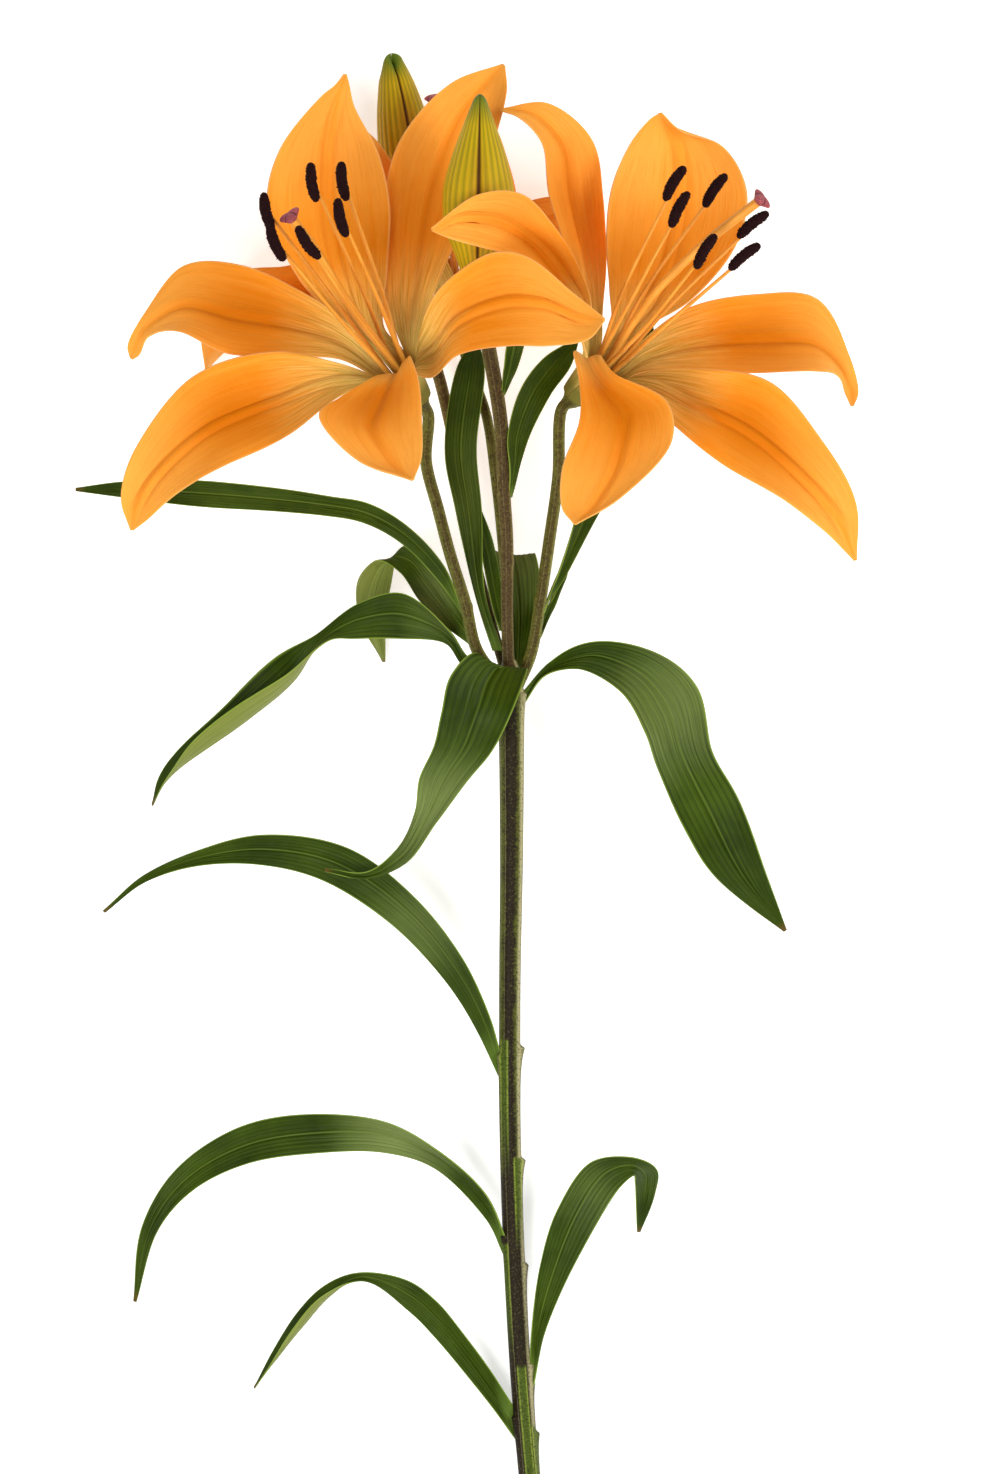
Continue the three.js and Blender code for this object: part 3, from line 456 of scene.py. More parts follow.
# Pale orange towards the tip and the edges is painted highlight; the deep orange down the hollow
# between foot and middle is painted shade.
colour = painted(
    tree, "EE8610",
    (mottle, 0.35, 0.65, 1.0, "F89624"),
    (broad_veins, 0.35, 0.7, 0.5, "FDA83E"),
    ("@peach", 0.0, 1.0, 0.7, "FDAE4A"),
    ("@burnt", 0.0, 1.0, 0.85, "CC6C00"),
    (fine_veins, 0.50, 0.72, 0.4, "DC7C08"),
    (under, 0.6, 1.0, 0.3, "F8B450"),
    ("@rib", 0.0, 1.0, 0.35, "CC7008"),
    (claw_reach, 0.56, 0.26, 1.0, stripes),
    (green_foot, 0.0, 1.0, 1.0, "6F6A2C"),
    (rim, 0.965, 1.0, 0.55, "FBB57C"),
    ("@along", 0.975, 1.0, 0.5, "E3A24E"))
finish_skin(tree, colour, fine_veins, 0.00035, {
    "Roughness": 0.55, "IOR": 1.4, "Specular IOR Level": 0.08, "Subsurface Weight": 0.12,
    "Subsurface Radius": (0.004, 0.0016, 0.0004), "Subsurface Scale": 1.0}, 0.55)

# In turning order round each flower, from the petal on its upper side.
PETAL_OUTLINES = {
    "left": {
        "front": [
            [-27, 126, 98, -39, 119, 96], [-24, 117, 112, -51, 112, 108],
            [-23, 104, 124, -57, 105, 120], [-23, 92, 132, -44, 91, 130], [-26, 84.5, 138],
        ],
        "right": [
            [-23, 138, 84, -20, 119, 88], [-16, 150, 90, -12, 126, 96],
            [-1, 160, 98, 6, 129, 106], [11, 159, 104, 19, 129, 111],
            [28, 145.5, 111, 32, 131, 115], [37, 137.5, 116],
        ],
        "upper_right": [
            [-34, 141, 63, -20, 146, 62], [-36, 160, 55, -12, 165, 54],
            [-36, 182, 49, -4, 182, 48], [-30, 201, 46, 1.5, 201, 46],
            [-14, 218.5, 44, 5, 216, 44], [4, 225, 40.5],
        ],
        "upper_left": [
            [-50, 138, 67, -36, 137, 65], [-64, 152, 63, -35, 154, 60],
            [-75, 177, 57, -34, 177, 55], [-71, 196, 54, -38, 195, 51],
            [-57, 214, 52, -46, 211, 50],
            [-52.5, 217.5, 52.5, -47.5, 217.5, 51.5], [-49, 221, 54],
        ],
        "left": [
            [-50, 125.5, 74, -48, 137.5, 69.8], [-68, 126, 79, -65, 149.5, 67],
            [-88, 127.5, 79, -83, 157, 61], [-104, 134.5, 72, -104, 157, 54],
            [-115, 133, 58, -117.5, 139, 55],
            [-117.7, 127.5, 52.5, -121.7, 130.5, 51.5], [-120.5, 126.3, 50],
        ],
        "lower_left": [
            [-49, 113.5, 85, -52, 124.5, 80], [-67, 100, 99, -71, 128, 86],
            [-89, 89, 105, -100, 119, 90], [-105, 80, 99, -118, 96, 89],
            [-114, 72, 90, -123, 79, 88], [-119.5, 68.5, 87],
        ],
    },
    "right": {
        "front": [
            [36, 126, 91, 27, 128, 92], [41, 120, 105, 29, 116, 104],
            [58, 110, 117, 28.5, 104, 117], [59, 97, 125, 23, 88, 126],
            [43, 79, 133, 23, 75, 133], [27, 70, 137],
        ],
        "lower_right": [
            [52, 121.5, 83, 50, 114, 86], [71, 122, 89, 60, 103, 99],
            [93, 117, 93, 77, 89.5, 108], [110, 97.5, 95, 97, 77.5, 107],
            [120.5, 77, 95, 110, 68, 98], [120.5, 58.5, 90],
        ],
        "right": [
            [49, 131.5, 67, 50, 121, 74], [64, 142, 63, 66, 121.5, 80],
            [88, 148, 60, 90, 120.5, 83], [108, 146, 57, 109, 121.5, 78],
            [119, 128, 57, 115.5, 120, 63],
            [122.4, 115, 52.5, 117.8, 114.5, 54], [120.4, 110.5, 50.5],
        ],
        "upper_right": [
            [39.5, 136, 67, 51, 136, 69], [39, 149, 63, 67, 146, 67],
            [38, 166, 59, 81, 163, 63], [40, 184, 55, 85, 182, 59], [46, 198, 54, 77, 197, 57],
            [52.5, 206, 56, 63, 202, 58], [56, 208, 58],
        ],
        "upper_left": [
            [31, 139, 66, 37, 141, 60], [26, 158, 60, 38, 161, 49],
            [19, 180, 56, 37.5, 181, 42], [17, 198, 54, 33, 200, 42],
            [9, 206.5, 53, 19, 212, 45], [3, 209.5, 52],
        ],
        "left": [
            [27, 140, 79, 33, 144, 77], [18, 151, 82, 29, 156, 79], [7, 159.5, 86, 21, 169, 84],
            [-3, 162, 89, 10, 180, 87], [-14, 165, 92, -4, 180, 89], [-20, 168, 93],
        ],
    },
    "back": {
        "upper_right": [
            [1, 160, 34, -9, 163, 38], [8, 178, 30, -5, 183, 35], [4, 198, 26, -7, 198, 30],
            [-4.5, 214, 19.5],
        ],
        "right": [
            [0, 157, 27, 2, 144, 28], [14, 157, 22, 14, 136, 23], [26, 152, 12, 26, 135, 13],
            [34, 140.5, 2],
        ],
        "back_right": [
            [-8, 164, 18, 2, 160, 18], [2, 176, 8, 14, 162, 9], [18, 182, 3, 24, 166, 3],
            [30.5, 181, 1.5],
        ],
        "back_left": [
            [-20, 155, 23.5, -15, 162, 24], [-34, 157, 23.5, -28, 168, 24.5],
            [-51, 161, 14, -45, 180, 13], [-65.5, 173, 1.5],
        ],
        "left": [
            [-24, 144, 32, -24, 156, 30], [-52, 139, 36, -50, 162, 30],
            [-72, 133, 34, -69, 158, 26], [-86, 131, 27, -84, 156.5, 18],
            [-94, 126, 17, -97, 140, 9], [-96.5, 121, 4.5],
        ],
        "upper_left": [
            [-17, 163, 39, -26, 158, 36], [-27, 180, 40, -48, 172, 35],
            [-37, 198, 36, -62, 190, 30], [-52.5, 211, 25.5],
        ],
    },
}
# These petals lie nearly flat to the light, so only a little painted shade goes down the middle of
# them.
LIGHTLY_SHADED_PETALS = [
    "left_upper_left", "left_upper_right", "left_right", "right_upper_right", "right_upper_left",
]


def petal_foot(flower, degrees, height, radius, width):
    """A row of a petal's claw, square to its own radius of the flower."""
    facing = unit(np.array(FLOWERS[flower][1], float))
    middle = in_flower(flower, height, radius, degrees)
    across = np.cross(unit(middle - in_flower(flower, height, 0, 0)), facing) * width / 2
    return [*(middle - across), *(middle + across), THROAT_CUP]


number = 0
for flower, outlines in PETAL_OUTLINES.items():
    for place, (petal, outline) in enumerate(outlines.items()):
        number += 1
        degrees = FLOWERS[flower][2] + PETAL_STEP * place
        inner = place % 2 == 1 if flower != "back" else place % 2 == 0

        def petal_relief(share, x, v):
            """Midrib and waves: inner petals have a groove between two ribs, outer ones one
            soft channel; low veins, and an edge that waves by half a millimetre."""
            grown = ramp(0.04, 0.3, share) * ramp(0, 0.16, 1 - share)
            if inner:
                midrib = 0.4 * bump(x, 1.2) - 0.55 * bump(np.abs(x) - RIB_APART, 0.85)
            else:
                midrib = -0.75 * bump(x, 1.6) + 0.25 * bump(np.abs(x) - 3.2, 1.2)
            veins = 0.05 * np.cos(2 * np.pi * 6.5 * v + number)
            beat = 2 * np.pi * 2.7 * share + number * 1.7 + 1.3 * np.sign(v)
            wave = 0.55 * np.abs(v) ** 3 * np.sin(beat)
            swell = 0.5 * np.sin(3.1 * share * np.pi + 2.2 * v + number) * (1 - v ** 2)
            return grown * (midrib + veins + wave + swell)

        rows = [petal_foot(flower, degrees, FOOT_HEIGHT, CLAW_RADIUS, CLAW_WIDTH),
                petal_foot(flower, degrees, THROAT_DEPTH, THROAT_RADIUS, THROAT_WIDTH)] + outline
        rings, share, v, upper, x = blade(rows, PETAL_CUP, PETAL_THICKNESS, petal_relief)
        rib = bump(np.abs(x) - RIB_APART, 0.55) if inner else bump(x, 1.1)
        rib = rib * ramp(0.1, 0.3, share) * ramp(0.02, 0.35, 1 - share)
        # The painted shade lies in the hollow and down the middle channel, and is weaker on the
        # petals that lie flat to the light.
        shade_strength = 0.3 if f"{flower}_{petal}" in LIGHTLY_SHADED_PETALS else 0.95
        hollow = bump(share - 0.55, 0.17) * (1 - v ** 2) ** 1.5
        hollow = hollow + 0.45 * bump(x, 2.6) * ramp(0.95, 0.5, share)
        # The painted highlight grows towards the tip and out to the edges.
        shell(f"{flower}_petal_{petal}", rings, petal_material, "petal",
              f"{flower}_flower_tepal_{petal}", along=share, across=v, upper=upper, rib=rib,
              number=number * 7.3, burnt=shade_strength * hollow,
              peach=ramp(0.5, 0.85, share) * ramp(0.0, 0.9, np.abs(v) + 0.35))

# -------------------- stamens
# Six to a flower: a smooth tapering filament, and on its end an anther, a swinging pouch about
# 13 mm long, opened along a seam and furred with nearly black maroon pollen.
FILAMENT_RING = 2.2
FILAMENT_THROAT = 3.6
FILAMENT_RADIUS = 0.95
FILAMENT_TAPER = 0.45
ANTHER_LENGTH = 13.4
ANTHER_RADIUS = 2.05
ANTHER_BOW = 0.7
POLLEN_ROUGHNESS = 0.1  # as a share of the anther's radius

# Firm wet flesh with a smooth skin: a soft shine, warmer than the petals and greener at the foot.
filament_material, tree = new_material("filament and style flesh, orange-tan")
grain = plant_grain(tree, "@turn", "@along", 3.0, (3.0, 6.0))
colour = painted(
    tree, "D68826", (grain, 0.35, 0.65, 1.0, "ECA03A"), ("@along", 0.38, 0.0, 0.8, "B79A46"))
finish_skin(tree, colour, grain, 0.0001, {
    "Roughness": 0.42, "IOR": 1.4, "Specular IOR Level": 0.4, "Subsurface Weight": 0.15,
    "Subsurface Radius": (0.002, 0.001, 0.0004), "Subsurface Scale": 1.0}, 0.4)

# Dry powder that hides the pouch under it: dead matt and nearly black. Its grains are finer than
# can show, so they are drawn as clumps 0.25 mm across.
pollen_material, tree = new_material("anther pollen, dry maroon-black")
clumps = speckle(tree, 4000.0, 2.0)
colour = painted(tree, "120406", (clumps, 0.42, 0.7, 1.0, "38110F"))
finish_skin(tree, colour, clumps, 0.0003, {"Roughness": 0.9, "Specular IOR Level": 0.15}, 0.9)

# Each stamen: turn round the flower, a point its filament bends through, the anther's two ends.
STAMENS = {
    "left": [
        [0, [-48, 144, 97], [-64, 168, 117], [-57, 158, 115]],
        [60, [-39, 148, 88], [-51, 178, 106], [-48, 165, 106]],
        [120, [-36, 146, 80], [-50, 191, 93], [-48, 177, 94]],
        [180, [-42, 146, 80], [-60, 190, 98], [-58, 177, 98]],
        [240, [-51, 143, 88], [-75.5, 180, 104], [-72.5, 167, 104]],
        [300, [-51, 139, 93], [-73.5, 169, 114], [-68.5, 157, 113]],
    ],
    "right": [
        [10, [51, 136, 92], [74, 166, 114], [67, 154, 113]],
        [70, [57, 136, 87], [89, 163, 104], [78, 154, 103]],
        [130, [57, 141, 79], [92, 174, 92], [81, 165, 91]],
        [190, [50, 147, 79], [78, 187, 90], [70, 175, 90]],
        [250, [43, 147, 83], [64, 189, 98], [57, 177, 98]],
        [310, [44, 141, 90], [65, 180, 109], [59, 168, 109]],
    ],
    "back": [
        [0, [-14, 172, 36], [-20, 206, 36.5], [-18, 193, 36.5]],
        [60, [-11, 172, 34], [-13, 206, 34], [-12, 193, 34]],
        [120, [-11, 172, 28], [-14, 206, 26], [-13, 193, 26]],
        [180, [-14, 172, 25], [-18, 208, 22], [-16.5, 195, 22]],
        [240, [-18, 172, 28], [-25, 202, 28], [-23, 189, 29]],
        [300, [-18, 172, 33], [-27, 204, 35], [-24, 191, 34.5]],
    ],
}
STYLES = {
    "left": [[-49, 146, 91], [-59, 162, 101], [-66, 171, 107]],
    "right": [[53, 146, 87], [69, 162, 96], [88, 177, 105]],
    "back": [[-14, 174, 30], [-17, 195, 30.5], [-19, 213, 32]],
}

pollen_grain = np.random.default_rng(7)


def filament_radius(t, angle, centre):
    """Tapers evenly from its foot to where the anther hangs, with three faint edges."""
    return FILAMENT_RADIUS - FILAMENT_TAPER * t + 0.03 * np.cos(3 * angle)


def anther_radius(t, angle, centre):
    """A blunt-ended pouch, the square root of 1 - |2t - 1|^3.4, with a seam down its far side
    and a groove on each flank, roughened with pollen."""
    ends = np.clip(1 - np.abs(2 * t - 1) ** 3.4, 0, 1) ** 0.5
    seam = 0.16 * bump(angle - np.pi, 0.35) + 0.07 * bump(np.abs(angle - np.pi) - 1.5, 0.3)
    rough = pollen_grain.normal(0, POLLEN_ROUGHNESS, np.broadcast(t, angle).shape)
    slim = 0.93 + 0.07 * np.cos(2 * angle)
    return ANTHER_RADIUS * (ends * (1 - seam) * slim + 0.02 + rough * ramp(0, 0.5, ends))


for flower, stamens in STAMENS.items():
    for place, (degrees, bend, start, end) in enumerate(stamens):
        node = f"{flower}_flower_stamen_{place + 1}"
        middle = (np.array(start) + np.array(end)) / 2
        half = unit(np.array(end, float) - np.array(start)) * ANTHER_LENGTH / 2
        path = [in_flower(flower, FOOT_HEIGHT, FILAMENT_RING, degrees),
                in_flower(flower, THROAT_DEPTH, FILAMENT_THROAT, degrees), bend, middle]
        rings, along, turn = tube(path, filament_radius, 60, 14)
        shell(f"{flower}_filament_{place + 1}", rings, filament_material, "style", node,
              along=along, turn=np.cos(turn), number=float(place))
        bow = unit(np.cross(half, [0, 0, 1])) * ANTHER_BOW
        rings, _, _ = tube([middle - half, middle + bow, middle + half], anther_radius, 64, 28)
        shell(f"{flower}_anther_{place + 1}", rings, pollen_material, "anther", node)

# -------------------- pistils
# The style is a stout, three-sided column longer than the stamens. Its end is a stigma of three
# plum-coloured, velvety lobes.
STYLE_RADIUS = 1.3
STIGMA_RADIUS = 3.2
STIGMA_REACH = (-1.6, 0.7, 2.6)  # its foot, waist and top, from the end of the style
STIGMA_DOME = 0.35  # the share of it that domes over
STIGMA_TURN = 0.4

# Short damp hairs 0.4 mm apart: a velvet with only a low, broken shine.
stigma_material, tree = new_material("stigma velvet, plum")
nap = speckle(tree, 2500.0, 2.0)
colour = painted(
    tree, "8A383E", (nap, 0.4, 0.65, 1.0, "B25E60"), ("@groove", 0.2, 1.0, 0.8, "54202C"))
finish_skin(tree, colour, nap, 0.0002,
            {"Roughness": 0.6, "IOR": 1.4, "Specular IOR Level": 0.3}, 0.6)


def style_radius(t, angle, centre):
    """Three-sided, and two fifths wider at its end than at its foot."""
    return STYLE_RADIUS * (0.9 + 0.35 * t) * (1 + 0.06 * np.cos(3 * angle))


def stigma_radius(t, angle, centre):
    """Opens like a trumpet to three round lobes, and domes over above its widest place."""
    open_out = 0.38 + 0.62 * ramp(0.1, 1 - STIGMA_DOME, t)
    lobes = 0.32 * ramp(0.2, 0.7, t) * np.cos(3 * angle + STIGMA_TURN)
    return STIGMA_RADIUS * open_out * round_end(t, STIGMA_DOME, 0.01) * (1 + lobes)


for flower, bends in STYLES.items():
    path = [in_flower(flower, FOOT_HEIGHT, 0, 0), in_flower(flower, THROAT_DEPTH, 0, 0), *bends]
    node = f"{flower}_flower_pistil"
    rings, along, turn = tube(path, style_radius, 90, 24)
    shell(f"{flower}_style", rings, filament_material, "style", node,
          along=along, turn=np.cos(turn), number=9.0)
    tip = np.array(bends[-1], float)
    way = unit(tip - np.array(bends[-2]))
    rings, along, turn = tube([tip + way * reach for reach in STIGMA_REACH], stigma_radius, 48, 60)
    shell(f"{flower}_stigma", rings, stigma_material, "style", node,
          groove=bump(np.cos(3 * turn + STIGMA_TURN) + 1, 0.3) * ramp(0.2, 0.7, along))

# -------------------- buds
# A closed bud is three outer petals folded edge to edge: yellow-green, ribbed lengthwise with
# olive stripes, green at the tip, and brown along the seams between the three.
BUD_RIBS = 4.5  # from a petal's middle to its seam
BUD_END_SPAN = 0.035
LOBE_REACH = 5.0
# Each bud: its path, greatest radius, the turn of the seam that shows, whether the tips of its
# petals stand apart (1) or not (0), and its radius along it, as shares.
BUDS = {
    "centre_bud": ([[-5, 149.2, 66], [-4.5, 180, 68], [-4, 214, 69]], 11.5, 0.0, 0.0, [
        [0, 0.28], [0.15, 0.62], [0.42, 0.97], [0.62, 1], [0.82, 0.79], [0.94, 0.47], [1, 0.12]]),
    "back_bud": ([[-27, 166.2, 15], [-29, 197, 16], [-34, 230, 17]], 9.0, 0.25, 1.0, [
        [0, 0.28], [0.15, 0.58], [0.42, 0.92], [0.66, 1], [0.84, 0.9], [0.95, 0.66], [1, 0.3]]),
}

# Firm petal tissue under a thin wax: a low shine broken by the ribs.
bud_material, tree = new_material("lily bud, ribbed yellow-green")
grain = plant_grain(tree, "@turn", "@along", 3.0, (22.0, 5.0))
wander = add_node(tree, "ShaderNodeMath", {0: grain, 1: "@stripe"}, operation="ADD")[0]
colour = painted(
    tree, "C6A414",
    (wander, 0.6, 1.6, 0.65, "74740E"),
    ("@blush", 0.3, 1.2, 0.8, "A8741C"),
    ("@along", 0.84, 0.99, 0.9, "4B6B1F"),
    ("@groove", 0.15, 0.9, 1.0, "4E2E12"))
finish_skin(tree, colour, grain, 0.0003, {
    "Roughness": 0.45, "IOR": 1.42, "Specular IOR Level": 0.16, "Subsurface Weight": 0.1,
    "Subsurface Radius": (0.002, 0.002, 0.0005), "Subsurface Scale": 1.0}, 0.5)

for number, (bud, (path, widest, seam_turn, lobed, profile)) in enumerate(BUDS.items()):
    def lobe_place(angle):
        """How far round its own petal a point is: 0 at a petal's middle, 1 at the seams."""
        return np.abs(((3 * (angle - seam_turn)) % (2 * np.pi)) / np.pi - 1)

    def bud_radius(t, angle, centre):
        """The profile, rounded out on each petal, cut in at the seams, with nine ribs a petal,
        and a round end."""
        w = lobe_place(angle)
        body = curve(profile, t.ravel())[:, 1][:, None]
        ribs = 0.012 * np.cos(2 * np.pi * BUD_RIBS * w) * ramp(0, 0.1, t) * ramp(0, 0.1, 1 - t)
        seam = (0.10 + 0.25 * lobed * ramp(0.75, 1, t)) * bump(1 - w, 0.10)
        end = round_end(t, BUD_END_SPAN, 0.002)
        return widest * body * end * (1.03 - 0.05 * w ** 2 - seam + ribs)

    rings, along, turn = tube(path, bud_radius, 150, 168)
    w = lobe_place(turn)
    # Each petal's own tip stands a little beyond the seams.
    way = unit(np.array(path[-1], float) - np.array(path[-2]))
    rings = rings - way * (lobed * LOBE_REACH * ramp(0.85, 1, along) * w ** 1.5)[..., None]
    shell(bud, rings, bud_material, "bud", bud, along=along, turn=turn, number=number * 5.0,
          stripe=0.5 - 0.5 * np.cos(2 * np.pi * BUD_RIBS * w), groove=bump(1 - w, 0.07),
          blush=bump(1 - w, 0.45) * ramp(0.05, 0.4, 1 - along) * (1.2 if lobed else 0.7))

# -------------------- leaves and bracts
# Lily leaves are glossy straps, folded a little along the midrib, with ten or so veins side by
# side from foot to tip. The upper face is deep green; the under face is paler and duller.
LEAF_CUP = 0.25
LEAF_THICKNESS = 0.8
LEAF_GAP = 0.6  # between the solid leaf's foot and the stem
LEAF_SOLID = 0.9  # thickness of the solid leaf
LEAF_SEAT = 0.5  # how far the foot goes in to the skin of the stem
LEAF_VEINS = 5  # on either side of the midrib

# A tough skin under a smooth wax: a broad, low gloss that is streaked by the veins, and in places
# a paler, greyer painted highlight. Veins lie 1 to 2 mm apart; the fine grain between them is 0.3
# mm.
leaf_material, tree = new_material("lily leaf, glossy deep green")
veins = plant_grain(tree, "@across", "@along", 1.0, (9.0, 0.8))
fine_veins = plant_grain(tree, "@across", "@along", 3.0, (40.0, 3.0))
mottle = speckle(tree, 60.0, 3.0)
sheen = add_node(tree, "ShaderNodeMath", {0: "@sheen", 1: fine_veins}, operation="MULTIPLY")[0]
rim = add_node(tree, "ShaderNodeMath", {0: "@across"}, operation="ABSOLUTE")[0]
under_colour = painted(tree, "66702A", (fine_veins, 0.35, 0.7, 1.0, "848C42"))
colour = painted(
    tree, "223200",
    (mottle, 0.3, 0.7, 1.0, "394C06"),
    (fine_veins, 0.45, 0.75, 0.4, "566A22"),
    ("@vein", 0.5, 1.0, 0.6, "1A2802"),
    (sheen, 0.12, 0.62, 0.75, "8A9A56"),
    ("@upper", 0.8, 0.2, 1.0, under_colour),
    ("@rib", 0.2, 1.0, 0.5, "66782E"),
    ("@along", 0.08, 0.0, 0.6, "6F8A34"),
    (rim, 0.955, 0.99, 0.7, "86A03C"),
    ("@along", 0.975, 1.0, 0.8, "6E5326"))
relief = add_node(tree, "ShaderNodeMath", {0: veins, 1: fine_veins}, operation="ADD")[0]
finish_skin(tree, colour, relief, 0.0004, {
    "Roughness": 0.34, "IOR": 1.45, "Specular IOR Level": 0.1}, 0.5)

# Each leaf: what it grows from, how far and how often its edges wave, and its outline.
LEAVES = {
    "stem_leaf_bottom_left": ("stem", 0.5, 2, [
        [7.2, -237, 6.5, 6.2, -225, 8], [2, -228, 9, -1, -212, 12],
        [-6.5, -217, 12, -9, -201, 16], [-18.5, -202.5, 16, -18.5, -189.5, 20],
        [-28, -193, 18, -28, -182.5, 20], [-43, -183, 16, -43, -180, 16],
        [-56, -188, 14, -56, -184.5, 10, 0.8], [-67, -200, 9, -66, -194, 5, 0.8],
        [-80, -219.5, 1],
    ]),
    "stem_leaf_lower_left": ("stem", 0.6, 2, [
        [2.5, -174, 11, 3.3, -168, 14], [-2, -162, 13, -2, -154, 19],
        [-18.5, -145.3, 18, -18, -139.5, 27], [-36, -140, 22, -36, -129, 29],
        [-60.5, -140, 24, -62, -126.5, 25], [-82, -143.5, 18, -86, -131.5, 17],
        [-101, -153, 10, -107, -146, 9], [-113, -167, 5, -118, -165, 4], [-120.5, -190.5, 1],
    ]),
    "stem_leaf_lower_right": ("stem", 0.5, 2, [
        [13.6, -213, 9, 15, -219, 9], [13.6, -196, 14, 17.5, -202, 12],
        [16, -178, 19, 24.5, -184, 18], [22, -158, 26, 35.5, -163, 23],
        [33, -142.5, 29, 43, -151.5, 25], [46.5, -141, 28, 47.5, -147.5, 24],
        [55.5, -145.5, 20, 48, -150, 18], [55, -154, 11, 48.3, -156, 11], [49.5, -167, 1],
    ]),
    "stem_leaf_mid_left": ("stem", 0.6, 2.5, [
        [0.8, -114, 17, 1.6, -106, 20], [-5.3, -98.7, 20, -1, -94, 25],
        [-17, -81, 23, -9.5, -74.5, 29], [-34.7, -62, 26, -25, -54.7, 32],
        [-57, -48.3, 26, -49, -37, 31], [-78.7, -43, 23, -76.7, -32.7, 25],
        [-100, -43.5, 16, -100, -38.5, 17], [-117, -49, 8, -118, -47.3, 9], [-131, -59, 1],
    ]),
    "whorl_leaf_left": ("whorl", 0.9, 2.5, [
        [0.9, 12, 41, 0.5, 17, 43], [-10, 23, 43, -9, 27.5, 46], [-16.5, 31, 48, -14.5, 36, 53],
        [-32, 33, 50, -30, 48, 55], [-46, 33, 46, -45, 44.5, 51],
        [-56, 32, 43, -60, 34, 39, 0.4], [-70, 21, 38, -72, 26.5, 28, 1.1],
        [-86, 9.5, 30, -88, 13, 20, 1.3], [-103, -3.5, 19, -104, -1.5, 11, 1.2],
        [-110.5, -14, 9, -112.5, -14, 5, 0.7], [-115, -23, 1.5],
    ]),
    "whorl_leaf_front": ("whorl", 1.2, 2.6, [
        [8.8, 21, 49.3, 3.3, 21, 49.3], [12, 23.5, 55, -6, 27.5, 56],
        [10.5, 18, 60, -14, 20, 60], [7, 9, 62, -17, 8, 61], [0, -5, 58, -19.5, -3, 56],
        [-9, -16, 52, -24, -13, 50], [-18, -28, 45, -26, -25, 44],
        [-29, -42.5, 39, -32, -37.5, 39], [-42, -47.4, 37, -42, -45.2, 37], [-56, -44.5, 37],
    ]),
    "whorl_leaf_right": ("whorl", 1.5, 3, [
        [11, 15.5, 41, 10.8, 10.5, 40], [19, 25, 46, 17, 20, 45], [36.3, 32, 54, 28, 22.5, 52],
        [56, 27.3, 52, 42.3, 15, 52], [68, 17, 46, 50, 2, 47], [73, -4, 36, 55.5, -12, 37],
        [83, -22, 23, 64, -31, 24], [91.2, -44, 11, 76, -49, 11], [98.5, -65.5, 1],
    ]),
    "stalk_leaf_long_left": ("left", 0.6, 3, [
        [-11.3, 41, 54, -11.2, 43, 56], [-17.5, 52, 56, -16, 57, 58],
        [-29, 63.5, 57, -29, 71, 59], [-42, 71, 56, -41, 78, 57], [-56, 74, 52, -55, 80.5, 54],
        [-94, 76.7, 42, -94, 85.7, 44], [-122, 80, 36, -122, 85.7, 36], [-139.5, 83, 32],
    ]),
    "whorl_leaf_back_left": ("left", 0.8, 2, [
        [-8, 31, 50, -7, 35, 49], [-18, 39, 44, -13, 47, 46], [-25, 46, 40, -20, 58, 42],
        [-31, 55, 36, -26, 64, 37], [-38, 59, 31, -31, 62.5, 32], [-45, 53, 24, -34, 50, 25],
        [-45, 42, 16, -36, 40, 17], [-36.5, 25.5, 3],
    ]),
    "whorl_leaf_upright_left": ("whorl", 0.5, 2, [
        [-4.5, 31, 46.5, -1, 31, 47], [-9.5, 50, 47, -6, 50, 47], [-16, 78, 46, -7, 78, 46],
        [-19.5, 98, 45, -8.7, 98, 46], [-15.5, 125, 47, -6, 125, 48], [-9, 135, 49],
    ]),
    "whorl_leaf_narrow": ("centre_bud", 0.3, 2, [
        [0.2, 36, 45, 2.2, 36, 44], [-3, 51, 42, 1.6, 52, 40], [-5.5, 66, 40.5, -1, 65, 38.5],
        [-7, 80, 40],
    ]),
    "whorl_leaf_back": ("whorl", 0.6, 2, [
        [9, 21, 36, 13, 22, 36], [5, 42, 32, 17, 42, 32], [1, 58, 30, 18, 56, 30],
        [-0.3, 65, 26, 16.5, 62.5, 26], [1, 60, 19, 16, 57, 19], [4, 45, 11, 15, 43, 11],
        [9, 30, 4],
    ]),
    "stalk_leaf_right": ("right", 0.7, 2, [
        [18.8, 41, 50.5, 18.8, 43, 48], [21, 50, 50, 24, 53, 47], [26.5, 68, 50, 34, 70, 46],
        [33, 90, 51, 44.5, 90, 48], [41, 112, 52, 54, 113, 50], [46.5, 127, 54, 55.5, 128, 53],
        [53.5, 138, 56],
    ]),
    "stalk_bract_right": ("right", 0.3, 2, [
        [15.9, 32, 43.6, 17.3, 33, 44.4], [19, 42, 42, 21.5, 43, 40],
        [22.5, 49, 41, 24.5, 50, 40], [26, 55, 41],
    ]),
    "stalk_bract_centre": ("centre_bud", 0.3, 2, [
        [7, 80, 55.5, 8, 80, 54.5], [6, 90, 59.5, 10, 91.5, 57],
        [5.5, 100, 61.5, 13.5, 102.5, 56], [9, 115, 59, 20, 114.5, 53],
        [17, 126, 55, 26, 123, 50], [29, 133, 50],
    ]),
    "stalk_bract_top": ("centre_bud", 0.3, 2, [
        [4.2, 114, 62, 5.4, 114, 61.5], [4, 122, 65, 8, 122, 63], [5, 131, 67, 11, 131, 65],
        [11, 141, 68],
    ]),
}
